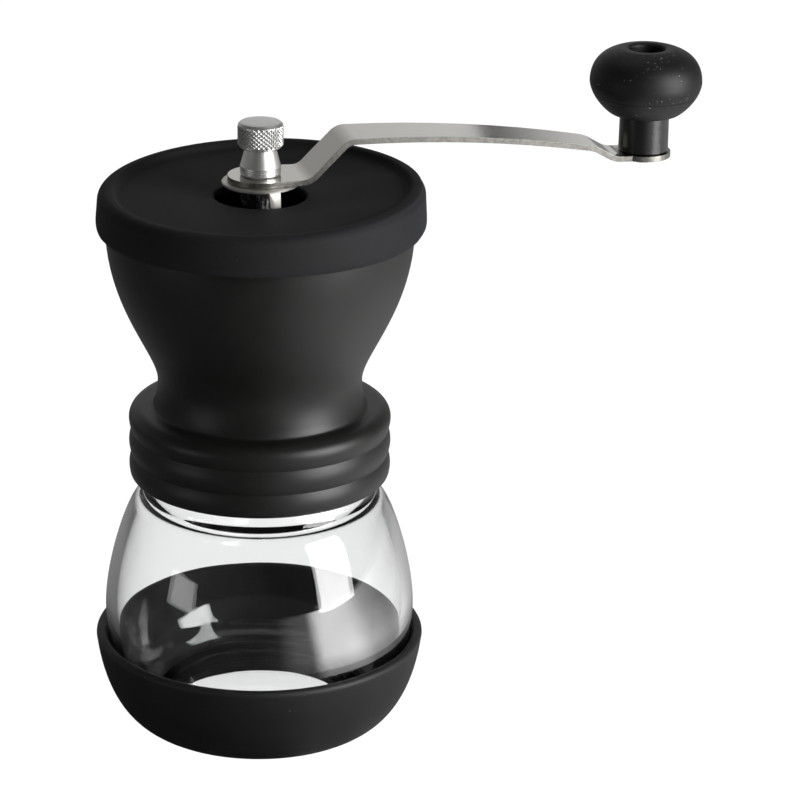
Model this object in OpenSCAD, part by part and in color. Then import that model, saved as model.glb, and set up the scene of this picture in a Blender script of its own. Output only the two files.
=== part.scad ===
// Hand crank coffee grinder: a plastic hopper with a conical burr mill below it,
// screwed onto a glass jar that stands in a rubber base cover.
// The mill axis is +Z, the foot of the base cover is z = 0 and the crank points along +X.

/* [Base cover] */
// Thickness of the rubber wall
cover_wall = 3; // [1.5:0.1:4]
// Thickness of the rubber floor
cover_floor = 3; // [1.5:0.1:5]
// Height of the cover's rim
cover_h = 27.2; // [20:0.2:32]
// Radius of the round hole in the floor
cover_hole_r = 24.5; // [10:0.5:26]

/* [Glass jar] */
// Radius of the ring that the glass stands on
jar_foot_r = 32.4; // [29:0.2:34]
// Largest radius of the glass
jar_belly_r = 44.7; // [42:0.1:47]
// Height of the largest radius above the jar's foot
jar_belly_h = 32; // [28:0.5:36]
// Radius where the shoulder meets the neck fillet
jar_shoulder_r = 36; // [35:0.2:38]
// Height of that place above the jar's foot
jar_shoulder_h = 64.7; // [62:0.2:67]
// Outer radius of the neck
neck_r = 33.2; // [32.6:0.1:33.6]
// Height where the neck becomes straight, above the jar's foot
neck_h = 69.4; // [69:0.1:71]
// Height of the jar's mouth above its foot
jar_h = 89.4; // [85:0.2:90]
// Thickness of the glass
glass_t = 3.2; // [2.4:0.1:3.5]
// Thickness of the glass floor
glass_floor = 5; // [4:0.2:8]
// Height of the hollow under the glass floor
punt_h = 2; // [1:0.1:3]

/* [Jar thread] */
// Rise of the thread in one turn
thread_pitch = 5; // [4.4:0.1:6]
// How far the thread stands out from the neck
thread_depth = 1.2; // [0.8:0.1:1.3]
// Width of the thread at its crest
thread_crest = 1; // [0.6:0.1:1.3]
// Direction in which the thread starts
thread_start = -47; // [-180:1:180]

/* [Hopper] */
// Thickness of the collar's wall in the valleys between its ribs
collar_wall = 1.65; // [1.4:0.05:3]
// How far the collar's ribs stand out
rib_h = 0.75; // [0.3:0.05:1]
// Number of soft ribs around the collar
rib_count = 3; // [2:1:4]
// Height of the collar
collar_h = 21; // [19:0.5:23]
// Radius of the collar's top edge
collar_round = 3.6; // [2:0.2:4]
// Radius of the collar's bottom edge
collar_foot_round = 1.8; // [1:0.1:2]
// Thickness of the plate that closes the collar
plate_t = 3.6; // [3:0.2:5]
// Radius of the waist above the collar
waist_r = 29.07; // [28.4:0.1:31]
// Height of the waist above the collar's plate
waist_h = 7.8; // [6:0.5:9]
// Radius of the hopper's rim
rim_r = 43.43; // [41:0.1:43.5]
// Height from the waist to the straight rim
bowl_h = 46; // [40:0.5:50]
// Height of the straight rim
rim_h = 5.5; // [4:0.1:7]
// Thickness of the hopper's wall
hopper_wall = 2.4; // [1.8:0.1:3]
// Gap between the skirt around the burrs and the glass
skirt_gap = 1.5; // [1:0.1:2]
// Height of the skirt below the collar's plate
skirt_h = 19.1; // [18:0.1:23]

/* [Bearing column] */
// Outer radius of the column in the hopper
column_r = 7.6; // [7:0.1:9]
// Height of the column's foot above the collar's plate
column_foot = 5; // [4:0.5:8]
// Number of arms that carry the column
arm_count = 4; // [3:1:4]
// Thickness of one arm
web_t = 3; // [2:0.2:4]
// Height of the column above the hopper's rim; negative when it is lower
column_top = -5.4; // [-6:0.1:-4]
// Outer radius of the bushes
bush_r = 5; // [4.6:0.1:5.4]
// Length of the bushes in the column
bush_l = 12; // [8:0.5:14]
// Height of the lower bush above the column's foot
bush_h = 16; // [12:0.5:20]

/* [Shaft] */
// Radius of the drive shaft
shaft_r = 3.5; // [3:0.1:3.8]
// Distance from the axis to the flats under the crank and in the burr
flat_d = 2.7; // [2.6:0.1:2.9]
// Radius of the thread under the knurled nut
stud_r = 2.6; // [2.2:0.1:2.6]
// Length of that thread
stud_l = 11; // [9:0.5:12]
// Radius of the thread at the bottom
tail_r = 2.2; // [2:0.1:2.6]

/* [Burrs] */
// Thickness of the carrier around the ceramic ring
carrier_wall = 5.5; // [5:0.1:6]
// Height of the ceramic ring
ring_h = 14.5; // [12:0.5:15]
// Narrowest radius inside the ring
throat_r = 13.2; // [12.8:0.1:14]
// Radius of the ring's mouth at its top
mouth_r = 16.6; // [15:0.1:17]
// Radius inside the ring at its bottom
exit_r = 15.4; // [15.2:0.1:16]
// Largest radius of the ceramic cone
cone_r = 14.6; // [14:0.1:14.7]
// Radius of the cone at its top
cone_top_r = 7.4; // [6.5:0.1:8]
// Number of deep grooves in the cone
groove_count = 6; // [4:1:8]
// Number of teeth cut in the ring
tooth_count = 12; // [8:1:16]
// How far the shaft can be raised to grind finer
adjust_travel = 1.2; // [0.8:0.1:1.2]

/* [Spring] */
// Radius of the spring wire
wire_r = 0.5; // [0.4:0.05:0.6]
// Mean radius of the coils
coil_r = 5.1; // [4.8:0.1:5.4]
// Number of turns
coil_turns = 8; // [6:1:10]

/* [Adjuster] */
// Radius of the adjuster nut
adjuster_r = 5.5; // [5:0.1:6]
// Height of the adjuster nut
adjuster_h = 8; // [6:0.2:9]
// Radius of the lock ring
lock_r = 10.85; // [10:0.05:11.5]
// Thickness of the lock ring
lock_t = 1; // [0.8:0.1:1.2]
// Width of the lock ring's bent tab
tab_w = 3.6; // [3:0.1:5]
// Length of the tab below the ring
tab_l = 6; // [4:0.2:7]
// Direction of the tab around the axis
tab_angle = -80; // [-90:1:-60]

/* [Lid] */
// Thickness of the lid's skirt
lid_wall = 2.37; // [1.8:0.01:4]
// Height of the lid
lid_h = 11.3; // [10:0.1:14]
// How far the middle lies below the crest
lid_dip = 1.9; // [1:0.1:2.4]
// Thickness of the lid's middle
lid_t = 2.5; // [2:0.1:3]
// Radius of the hole in the middle
lid_hole_r = 13; // [12.6:0.1:14]
// Width of the crest around the lid
crest_w = 4.9; // [4:0.1:8]

/* [Crank] */
// Thickness of the steel strip
strip_t = 1.6; // [1.2:0.1:2]
// Radius of the round end on the shaft
hub_r = 9.2; // [8.6:0.1:10]
// Width of the strip at the bend next to the hub
strip_w = 16; // [14:0.5:17]
// Width of the strip next to the knob
strip_w_end = 12; // [10:0.5:13.5]
// Radius of the pad under the knob
pad_r = 7.85; // [7.6:0.05:9]
// Height of the arm's first step
rise = 10.95; // [9:0.05:13]
// Inner radius of the bends
bend_r = 4.2; // [3:0.1:5]
// Distance from the mill's axis to the knob's axis
reach = 111.8; // [100:0.1:118]
// Angle by which the span falls towards the knob
span_fall = 10; // [8:0.5:12]
// Drop from the end of the span down to the pad
pad_drop = 3.85; // [2.4:0.1:4]

/* [Knurled nut] */
// Radius of the knurled head
nut_r = 6.5; // [6:0.1:7]
// Height of the knurled head
nut_head_h = 7.2; // [5:0.1:8]
// Height of the plain part below the head
nut_body_h = 7.9; // [6:0.1:9]
// Radius of the nut's foot
nut_foot_r = 5.75; // [5.2:0.05:6.4]
// Radius of the neck under the head
nut_neck_r = 4.3; // [4.1:0.1:5]

/* [Knob] */
// Radius of the post that the knob turns on
post_r = 3; // [2.4:0.1:3.4]
// Radius of the knob's stem
stem_r = 7.15; // [6.4:0.05:7.4]
// Height of the stem
stem_h = 10.9; // [8:0.1:13]
// Radius of the stem's sleeve inside the head
sleeve_r = 5.3; // [4.6:0.1:5.5]
// Largest radius of the knob's head
knob_r = 16; // [14:0.1:18]
// Height of the head up to its widest place
knob_low_h = 9.1; // [8:0.1:11]
// Height of the head above its widest place
knob_top_h = 9.8; // [8:0.1:12]
// Radius of the hole in the top of the head
knob_hole_r = 5; // [4.6:0.1:5.6]

/* [Clearances] */
// Radial clearance of shafts and pins that turn
run_gap = 0.06; // [0.02:0.01:0.1]
// Gap between flat faces that rest on each other
seat_gap = 0.1; // [0.05:0.01:0.2]
// Gap between curved parts that are pulled off
slip_gap = 0.3; // [0.25:0.05:0.4]

/* [Hidden] */
$fn = 96;

// Steps of a curve
curve_n = 10;

// Glass: handles of its two curves
heel_angle = 14;
heel_pull = 6.2;
belly_pull_low = 19;
belly_pull_top = 11;
shoulder_angle = 130;
shoulder_pull = 5;
neck_pull = 3;

// Hopper: handles of its bowl
bowl_pull_low = 9;
bowl_pull_top = 24;

// Heights, from the foot up
jar_z = cover_floor + seat_gap;
mouth_z = jar_z + jar_h;
plate_z = mouth_z + seat_gap;
collar_top_z = plate_z + plate_t;
collar_z = collar_top_z - collar_h;
waist_z = collar_top_z + waist_h;
bowl_top_z = waist_z + bowl_h;
rim_z = bowl_top_z + rim_h;
skirt_z = plate_z - skirt_h;
column_z = collar_top_z + column_foot;
column_top_z = rim_z + column_top;
bush_z = column_z + bush_h;
flange_t = 2;
washer_t = 1;
bush_flange_r = bush_r + 1.5;

// Radii of the collar's inside and of the two threads
collar_in_r = neck_r + thread_depth + 2 * slip_gap;
collar_r = collar_in_r + collar_wall;
inner_crest_r = neck_r + 1.4 * slip_gap;
thread_root = 1;

// Burrs
skirt_r = neck_r - glass_t - skirt_gap;
seat_t = 3;
ring_top_z = plate_z - seat_t - seat_gap;
ring_z = ring_top_z - ring_h;
cone_z = ring_z + 0.4;
cone_top_z = ring_top_z + 2;
bore_r = shaft_r + run_gap;
carrier_r = skirt_r - hopper_wall - seat_gap;
ring_r = carrier_r - carrier_wall;
carrier_in_r = ring_r - 2.6;
carrier_lip = 1.5;
carrier_z = ring_z - seat_gap - carrier_lip;
screw_r = 1.1;
screw_head_r = 1.9;
screw_head_h = 1.2;
screw_circle_r = (ring_r + carrier_r) / 2 + 0.1;
screw_count = 3;
screw_depth = 2.4;

// Shaft stations
thrust_z = column_top_z + flange_t + seat_gap;
adjuster_z = thrust_z + washer_t + seat_gap;
lock_z = adjuster_z + adjuster_h + seat_gap;
hub_z = lock_z + lock_t + seat_gap;
hub_top_z = hub_z + strip_t;
shaft_top_z = hub_top_z + 0.5;
plate_drive_t = 1.6;
drive_plate_r = 9;
drive_z = cone_z - seat_gap - plate_drive_t;
burr_nut_h = 3.5;
burr_nut_z = drive_z - seat_gap - burr_nut_h;
burr_nut_r = 4.6;
lower_washer_z = cone_top_z + seat_gap;
upper_washer_z = bush_z - flange_t - seat_gap - washer_t;
spring_washer_r = coil_r + wire_r + 0.4;
spring_bore_r = spring_washer_r + slip_gap;

// Lid
lid_z = rim_z + seat_gap + lid_t + lid_dip - lid_h;
lid_top_z = lid_z + lid_h;
lid_in_r = rim_r + slip_gap;
lid_r = lid_in_r + lid_wall;
crest_r = lid_r - crest_w;
lid_round = 2.8;

// Crank: a strip bent along a path of straights and arcs, measured at its middle
bend_mid = bend_r + strip_t / 2;
rise_angle = 45;
pad_slope = 30;
pad_bend = 8;
first_flat = hub_r + 1.3;
rise_straight = (rise - 2 * bend_mid * (1 - cos(rise_angle))) / sin(rise_angle);
rise_end = first_flat + 2 * bend_mid * sin(rise_angle) + rise_straight * cos(rise_angle);
pad_arc_drop = pad_bend * (cos(span_fall) + 1 - 2 * cos(pad_slope));
pad_straight = max(0.1, (pad_drop - pad_arc_drop) / sin(pad_slope));
drop_l = cos(span_fall) + pad_bend * (2 * sin(pad_slope) - sin(span_fall))
         + pad_straight * cos(pad_slope);
span_r = (reach - pad_r - rise_end - drop_l) / sin(span_fall);
arm_moves = [[first_flat, rise_angle, bend_mid],
             [rise_straight, -rise_angle, bend_mid],
             [0, -span_fall, span_r],
             [1, span_fall - pad_slope, pad_bend],
             [pad_straight, pad_slope, pad_bend]];
arm_start = [0, hub_z + strip_t / 2];
arm_path = concat([arm_start], trace(arm_start, 0, arm_moves));
arm_end = arm_path[len(arm_path) - 1];
knob_x = reach;
pad_top_z = arm_end[1] + strip_t / 2;

// Knob stations
stem_z = pad_top_z + seat_gap;
head_z = stem_z + stem_h;
widest_z = head_z + knob_low_h;
knob_top_z = widest_z + knob_top_h;
sleeve_top_z = widest_z + 1;
knob_washer_r = min(sleeve_r, knob_hole_r) - 0.4;
post_head_r = 4.6;
post_head_h = 0.9;

// A point on a cubic curve, and the curve from a to d with handles b and c
function cubic(a, b, c, d, t) =
    pow(1 - t, 3) * a + 3 * pow(1 - t, 2) * t * b + 3 * (1 - t) * t * t * c + pow(t, 3) * d;
function curve(a, b, c, d) = [for (i = [0:curve_n]) cubic(a, b, c, d, i / curve_n)];

// An arc of radius r about c, from angle a to angle b
function arc(c, r, a, b) =
    [for (i = [0:curve_n]) let (t = a + (b - a) * i / curve_n) c + r * [cos(t), sin(t)]];

// A path that goes straight, then turns, move by move: [straight length, turn, bend radius]
function turn_centre(p, h, m) =
    p + m[0] * [cos(h), sin(h)] + m[2] * sign(m[1]) * [-sin(h), cos(h)];
function turn_points(p, h, m) =
    let (c = turn_centre(p, h, m), s = sign(m[1]))
    [for (i = [0:curve_n]) let (t = h + m[1] * i / curve_n) c + m[2] * s * [sin(t), -cos(t)]];
function trace(p, h, moves, i = 0) =
    i == len(moves) ? []
    : let (q = turn_points(p, h, moves[i]), first = moves[i][0] > 0 ? 0 : 1)
      concat([for (k = [first:curve_n]) q[k]],
             trace(q[curve_n], h + moves[i][1], moves, i + 1));

// A path moved sideways by d, to the left of its direction when d is positive
function unit(v) = v / norm(v);
function side(p, d) =
    [for (i = [0:len(p) - 1])
        let (v = unit(p[min(i + 1, len(p) - 1)] - p[max(i - 1, 0)])) p[i] + d * [-v[1], v[0]]];
function reversed(p) = [for (i = [len(p) - 1:-1:0]) p[i]];

// Outer line of the glass: its body up to the belly, and from there to the mouth
jar_body = curve([jar_foot_r, jar_z],
                 [jar_foot_r + heel_pull, jar_z + heel_pull * tan(heel_angle)],
                 [jar_belly_r, jar_z + jar_belly_h - belly_pull_low],
                 [jar_belly_r, jar_z + jar_belly_h]);
jar_shoulder_p = [jar_shoulder_r, jar_z + jar_shoulder_h];
shoulder_dir = [cos(shoulder_angle), sin(shoulder_angle)];
jar_shoulder = curve([jar_belly_r, jar_z + jar_belly_h],
                     [jar_belly_r, jar_z + jar_belly_h + belly_pull_top],
                     jar_shoulder_p - shoulder_pull * shoulder_dir, jar_shoulder_p);
jar_neck = curve(jar_shoulder_p, jar_shoulder_p + neck_pull * shoulder_dir,
                 [neck_r, jar_z + neck_h - neck_pull / 2], [neck_r, jar_z + neck_h]);

// Outer line of the hopper above its collar, and the funnel inside its waist
crease_r = waist_r + 1.2;
bowl = concat(
    curve([crease_r, collar_top_z], [crease_r - 0.4, collar_top_z + 2],
          [waist_r, waist_z - 3], [waist_r, waist_z]),
    curve([waist_r, waist_z], [waist_r, waist_z + bowl_pull_low],
          [rim_r, bowl_top_z - bowl_pull_top], [rim_r, bowl_top_z]));
funnel_low = [mouth_r + 0.8, plate_z + 1];
funnel_top = [waist_r - hopper_wall, waist_z - 1];
function funnel_r(z) = funnel_low[0] + (funnel_top[0] - funnel_low[0])
                       * (z - funnel_low[1]) / (funnel_top[1] - funnel_low[1]);

module ring(r_out, r_in, z, h) {
    translate([0, 0, z]) difference() {
        cylinder(r = r_out, h = h);
        translate([0, 0, -1]) cylinder(r = r_in, h = h + 2);
    }
}

// A round bar with two flats, standing on z
module flatted(r, flat, z, h) {
    translate([0, 0, z]) intersection() {
        cylinder(r = r, h = h);
        translate([-flat, -r - 1, 0]) cube([2 * flat, 2 * r + 2, h]);
    }
}

// A thread ridge of the given turns, from radius r_root to r_crest, starting at z
module ridge(r_root, r_crest, z, turns) {
    steps = 20;
    count = round(turns * steps);
    root = thread_crest + 1;
    function station(i) =
        let (a = 360 * i / steps, zz = z + thread_pitch * i / steps, d = [cos(a), sin(a)])
        [for (q = [[r_root, -root / 2], [r_crest, -thread_crest / 2],
                   [r_crest, thread_crest / 2], [r_root, root / 2]])
            [q[0] * d[0], q[0] * d[1], zz + q[1]]];
    points = [for (i = [0:count]) for (p = station(i)) p];
    walls = [for (i = [0:count - 1]) for (k = [0:3])
        for (f = [[4 * i + k, 4 * i + (k + 1) % 4, 4 * i + 4 + k],
                  [4 * i + (k + 1) % 4, 4 * i + 4 + (k + 1) % 4, 4 * i + 4 + k]]) f];
    ends = [[0, 2, 1], [0, 3, 2],
            [4 * count, 4 * count + 1, 4 * count + 2], [4 * count, 4 * count + 2, 4 * count + 3]];
    flip = r_crest < r_root;
    faces = concat(walls, ends);
    polyhedron(points, flip ? [for (f = faces) [f[2], f[1], f[0]]] : faces);
}

module base_cover() {
    wall_out = slip_gap + cover_wall;
    low = [for (p = jar_body) if (p[1] < cover_h) p];
    inner = side(low, -slip_gap);
    outer = side(low, -wall_out);
    floor_r = outer[0][0];
    color([0.07, 0.07, 0.08]) rotate_extrude() polygon(concat(
        [[cover_hole_r, 0], [floor_r, 0]],
        [for (p = outer) if (p[1] > 0.2) p],
        [[outer[len(outer) - 1][0] + 0.3, cover_h - 0.6],
         [outer[len(outer) - 1][0] - 0.4, cover_h],
         [inner[len(inner) - 1][0] + 0.5, cover_h]],
        [for (p = reversed(inner)) if (p[1] > cover_floor) p],
        [[jar_foot_r + slip_gap, cover_floor], [cover_hole_r, cover_floor]]));
}

module glass_jar() {
    outside = concat(jar_body, jar_shoulder, jar_neck);
    inside = [for (p = side(outside, glass_t)) if (p[1] > jar_z + glass_floor + 1) p];
    lip = glass_t / 2;
    mouth_r_mid = neck_r - lip;
    color([0.8, 0.85, 0.86, 0.35]) union() {
        rotate_extrude() polygon(concat(
            [[0, jar_z + punt_h], [cover_hole_r + 1.5, jar_z + punt_h - 0.2], [jar_foot_r - 2, jar_z]],
            outside,
            arc([mouth_r_mid, mouth_z - lip], lip, 0, 180),
            reversed(inside),
            [[0, jar_z + glass_floor]]));
        rotate(thread_start) ridge(neck_r - thread_root, neck_r + thread_depth, collar_z, 2);
    }
}

module hopper() {
    rib_pitch = collar_h / rib_count;
    function rib(z) = collar_r + rib_h * abs(sin(180 * (z - collar_z) / rib_pitch));
    low = collar_z + collar_foot_round;
    high = collar_top_z - collar_round;
    ribs = [for (i = [0:curve_n * rib_count]) let (z = low + (high - low) * i / (curve_n * rib_count))
        [rib(z), z]];
    inside = [for (p = side(bowl, hopper_wall)) if (p[1] > waist_z) p];
    skirt_in_r = skirt_r - hopper_wall;
    lip = hopper_wall / 2;
    profile = concat(
        [[collar_in_r, collar_z]],
        arc([rib(low) - collar_foot_round, low], collar_foot_round, 270, 360),
        [for (i = [1:len(ribs) - 2]) ribs[i]],
        arc([rib(high) - collar_round, high], collar_round, 0, 90),
        [[crease_r + 0.8, collar_top_z], [crease_r + 0.2, collar_top_z + 0.4]],
        [for (p = bowl) if (p[1] > collar_top_z + 0.5) p],
        arc([rim_r - lip, rim_z - lip], lip, 0, 180),
        reversed(inside),
        [funnel_top, funnel_low, [mouth_r + 0.8, plate_z - seat_t], [skirt_in_r, plate_z - seat_t],
         [skirt_in_r, skirt_z], [skirt_r, skirt_z], [skirt_r, plate_z], [collar_in_r, plate_z]]);
    color([0.1, 0.1, 0.1]) difference() {
        union() {
            rotate_extrude() polygon(profile);
            rotate(thread_start)
                ridge(collar_in_r + thread_root, inner_crest_r, collar_z + thread_pitch / 2, 1.5);
        }
        for (i = [0:screw_count - 1]) rotate(120 * i) translate([screw_circle_r, 0, 0])
            translate([0, 0, plate_z - seat_t - 1])
                cylinder(r = screw_r + run_gap, h = screw_depth + 1 + seat_gap);
    }
}

// The tube that carries the two bushes, on arms that stand in the waist
module bearing_column() {
    foot = column_z;
    root = column_r - 1;
    wall = [for (p = side(bowl, hopper_wall + seat_gap)) if (p[1] > waist_z && p[1] < foot + 9) p];
    color([0.1, 0.1, 0.1]) difference() {
        union() {
            translate([0, 0, column_z]) cylinder(r = column_r, h = column_top_z - column_z);
            for (i = [0:arm_count - 1]) rotate(45 + 360 / arm_count * i)
                rotate([90, 0, 0]) translate([0, 0, -web_t / 2]) linear_extrude(web_t)
                    polygon(concat(
                        [[root, foot], [funnel_r(foot) - 2 * seat_gap, foot],
                         [funnel_top[0] - 1.5 * seat_gap, funnel_top[1]]],
                        wall, [[root, foot + 18]]));
        }
        translate([0, 0, column_z - 1]) cylinder(r = spring_bore_r, h = bush_z - column_z + 1);
        translate([0, 0, column_z]) cylinder(r = bush_r + seat_gap, h = column_top_z - column_z + 1);
    }
}

module upper_bush() {
    color([0.75, 0.7, 0.55]) difference() {
        union() {
            translate([0, 0, column_top_z - bush_l]) cylinder(r = bush_r, h = bush_l + 1);
            translate([0, 0, column_top_z + seat_gap]) cylinder(r = bush_flange_r, h = flange_t - seat_gap);
        }
        translate([0, 0, column_top_z - bush_l - 1]) cylinder(r = bore_r, h = bush_l + flange_t + 2);
    }
}

module lower_bush() {
    color([0.75, 0.7, 0.55]) difference() {
        union() {
            translate([0, 0, bush_z - 1]) cylinder(r = bush_r, h = bush_l + 1);
            translate([0, 0, bush_z - flange_t])
                cylinder(r = spring_bore_r - seat_gap, h = flange_t - seat_gap);
        }
        translate([0, 0, bush_z - flange_t - 1]) cylinder(r = bore_r, h = bush_l + flange_t + 2);
    }
}

module outer_burr() {
    tooth_w = 1.6;
    tooth_d = 1.1;
    throat_h = ring_h / 2;
    mouth_slope = atan((mouth_r - throat_r) / throat_h);
    tooth_l = throat_h / cos(mouth_slope);
    color([0.92, 0.91, 0.87]) difference() {
        rotate_extrude() polygon([
            [exit_r, ring_z], [ring_r, ring_z], [ring_r, ring_top_z], [mouth_r, ring_top_z],
            [throat_r, ring_z + throat_h]]);
        for (i = [0:tooth_count - 1]) rotate(360 / tooth_count * i)
            translate([mouth_r, 0, ring_top_z]) rotate([0, mouth_slope, 0])
                translate([-2, -tooth_w / 2, 0.5 - tooth_l]) cube([2 + tooth_d, tooth_w, tooth_l + 2]);
    }
}

module burr_carrier() {
    color([0.12, 0.12, 0.12]) difference() {
        rotate_extrude() polygon([
            [carrier_in_r, carrier_z], [carrier_r, carrier_z], [carrier_r, ring_top_z],
            [ring_r + seat_gap, ring_top_z], [ring_r + seat_gap, ring_z - seat_gap],
            [carrier_in_r, ring_z - seat_gap]]);
        for (i = [0:screw_count - 1]) rotate(120 * i) translate([screw_circle_r, 0, carrier_z - 1])
            cylinder(r = screw_r + run_gap, h = ring_top_z - carrier_z + 2);
    }
}

module carrier_screws() {
    color([0.7, 0.7, 0.72])
    for (i = [0:screw_count - 1]) rotate(120 * i) translate([screw_circle_r, 0, 0]) difference() {
        union() {
            translate([0, 0, carrier_z - seat_gap - screw_head_h])
                cylinder(r = screw_head_r, h = screw_head_h);
            translate([0, 0, carrier_z - seat_gap - 0.2])
                cylinder(r = screw_r, h = plate_z - seat_t + screw_depth - carrier_z);
        }
        translate([-0.3, -screw_head_r - 1, carrier_z - seat_gap - screw_head_h - 1])
            cube([0.6, 2 * screw_head_r + 2, 1.5]);
    }
}

module thrust_washer() {
    color([0.8, 0.8, 0.8]) ring(adjuster_r + 0.5, bore_r, thrust_z, washer_t);
}

module adjuster_nut() {
    flute_count = 12;
    color([0.05, 0.05, 0.05]) difference() {
        translate([0, 0, adjuster_z]) cylinder(r = adjuster_r, h = adjuster_h);
        translate([0, 0, adjuster_z - 1]) cylinder(r = bore_r, h = adjuster_h + 2);
        for (i = [0:flute_count - 1]) rotate(360 / flute_count * i)
            translate([adjuster_r + 0.35, 0, adjuster_z - 1]) cylinder(r = 0.7, h = adjuster_h - 1);
    }
}

module lock_ring() {
    tab_r = lock_r - lock_t;
    color([0.78, 0.78, 0.78]) difference() {
        union() {
            translate([0, 0, lock_z]) cylinder(r = lock_r, h = lock_t);
            rotate(tab_angle) translate([tab_r, -tab_w / 2, lock_z - tab_l])
                cube([lock_t - 0.2, tab_w, tab_l + lock_t / 2]);
        }
        flatted(shaft_r + seat_gap, flat_d + seat_gap, lock_z - 1, lock_t + 2);
    }
}

module drive_shaft() {
    color([0.7, 0.7, 0.72]) union() {
        translate([0, 0, cone_z + 1]) cylinder(r = shaft_r, h = lock_z - adjust_travel - cone_z - 1);
        flatted(shaft_r, flat_d, lock_z - adjust_travel - 0.5, shaft_top_z - lock_z + adjust_travel + 0.5);
        translate([0, 0, shaft_top_z - 0.3]) cylinder(r = stud_r, h = stud_l + 0.3);
        flatted(shaft_r, flat_d, drive_z, cone_z - drive_z + 2);
        translate([0, 0, burr_nut_z - 1]) cylinder(r = tail_r, h = drive_z - burr_nut_z + 2);
    }
}

module inner_burr() {
    groove_w = 2.2;
    groove_lean = 24;
    belly_h = (cone_top_z - cone_z) * 0.35;
    color([0.92, 0.91, 0.87]) difference() {
        rotate_extrude() polygon([
            [bore_r, cone_z], [cone_r, cone_z], [cone_r, cone_z + 0.6],
            [throat_r - 1.2, cone_z + belly_h + 2], [cone_top_r, cone_top_z], [bore_r, cone_top_z]]);
        for (i = [0:groove_count - 1]) rotate(360 / groove_count * i)
            translate([0, -cone_r * 0.8, cone_z]) rotate([0, groove_lean, 0])
                translate([cone_top_r + 0.4, 0, 4]) rotate([-groove_lean, 0, 0])
                    cube([6, groove_w, cone_top_z - cone_z + 8]);
    }
}

module drive_plate() {
    color([0.75, 0.75, 0.76]) difference() {
        translate([0, 0, drive_z]) cylinder(r = drive_plate_r, h = plate_drive_t);
        flatted(shaft_r + run_gap, flat_d + run_gap, drive_z - 1, plate_drive_t + 2);
    }
}

module burr_nut() {
    color([0.75, 0.75, 0.76]) difference() {
        translate([0, 0, burr_nut_z]) cylinder(r = burr_nut_r, h = burr_nut_h, $fn = 6);
        translate([0, 0, burr_nut_z - 1]) cylinder(r = tail_r + run_gap, h = burr_nut_h + 2);
    }
}

module spring_washer_upper() {
    color([0.8, 0.8, 0.8]) ring(spring_washer_r, bore_r, upper_washer_z, washer_t);
}

module spring_washer_lower() {
    color([0.8, 0.8, 0.8]) ring(spring_washer_r, bore_r, lower_washer_z, washer_t);
}

// A closed tube swept along the helix
module spring() {
    steps = 18;
    sides = 6;
    count = coil_turns * steps;
    low = lower_washer_z + washer_t + wire_r + seat_gap;
    high = upper_washer_z - wire_r - seat_gap;
    points = [for (i = [0:count]) for (k = [0:sides - 1])
        let (a = 360 * i / steps, b = 360 * k / sides, rr = coil_r + wire_r * cos(b))
        [rr * cos(a), rr * sin(a), low + (high - low) * i / count + wire_r * sin(b)]];
    walls = [for (i = [0:count - 1]) for (k = [0:sides - 1])
        let (j = (k + 1) % sides, p = sides * i, q = sides * (i + 1))
        for (f = [[p + k, q + k, p + j], [p + j, q + k, q + j]]) f];
    start = [for (k = [1:sides - 2]) [0, k, k + 1]];
    end = [for (k = [1:sides - 2]) [sides * count, sides * count + k + 1, sides * count + k]];
    color([0.6, 0.6, 0.62]) polyhedron(points, concat(walls, start, end));
}

module lid() {
    skirt_flare = 0.5;
    under_z = lid_top_z - lid_dip - lid_t;
    dip_z = lid_top_z - lid_dip;
    crest_mid_r = lid_r - lid_round;
    color([0.09, 0.09, 0.1]) rotate_extrude() polygon(concat(
        [[lid_in_r, lid_z + 0.5], [lid_in_r + 0.5, lid_z], [lid_r - 0.8, lid_z]],
        [[lid_r - skirt_flare, lid_z + 0.4], [lid_r, lid_z + 2.5]],
        arc([crest_mid_r, lid_top_z - lid_round], lid_round, 0, 90),
        [[crest_r + 0.7, lid_top_z - 0.2], [crest_r, dip_z + 0.5], [crest_r - 0.8, dip_z]],
        [[lid_hole_r + 0.5, dip_z], [lid_hole_r, dip_z - 0.5]],
        [[lid_hole_r, under_z + 0.5], [lid_hole_r + 0.5, under_z], [lid_in_r, under_z]]));
}

module crank_arm() {
    far = knob_x + pad_r;
    bent = concat([arm_start - [hub_r + 1, 0]], arm_path, [[far + 1, arm_end[1]]]);
    top = side(bent, strip_t / 2);
    bottom = side(bent, -strip_t / 2);
    blend_x = knob_x - pad_r * 0.9;
    color([0.72, 0.71, 0.7]) difference() {
        intersection() {
            rotate([90, 0, 0]) translate([0, 0, -hub_r - 2])
                linear_extrude(2 * hub_r + 4) polygon(concat(top, reversed(bottom)));
            translate([0, 0, hub_z - rise]) union() {
                cylinder(r = hub_r, h = 4 * rise);
                linear_extrude(4 * rise) polygon([
                    [0, hub_r], [hub_r * 0.5, hub_r * 0.87], [first_flat, strip_w / 2],
                    [rise_end, strip_w / 2], [blend_x, strip_w_end / 2], [knob_x, strip_w_end / 2],
                    [knob_x, -strip_w_end / 2], [blend_x, -strip_w_end / 2],
                    [rise_end, -strip_w / 2], [first_flat, -strip_w / 2],
                    [hub_r * 0.5, -hub_r * 0.87], [0, -hub_r]]);
                translate([knob_x, 0, 0]) cylinder(r = pad_r, h = 4 * rise);
            }
        }
        flatted(shaft_r + seat_gap, flat_d + seat_gap, hub_z - 1, strip_t + 2);
        translate([knob_x, 0, arm_end[1] - strip_t]) cylinder(r = post_r + run_gap, h = 2 * strip_t);
    }
}

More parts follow.
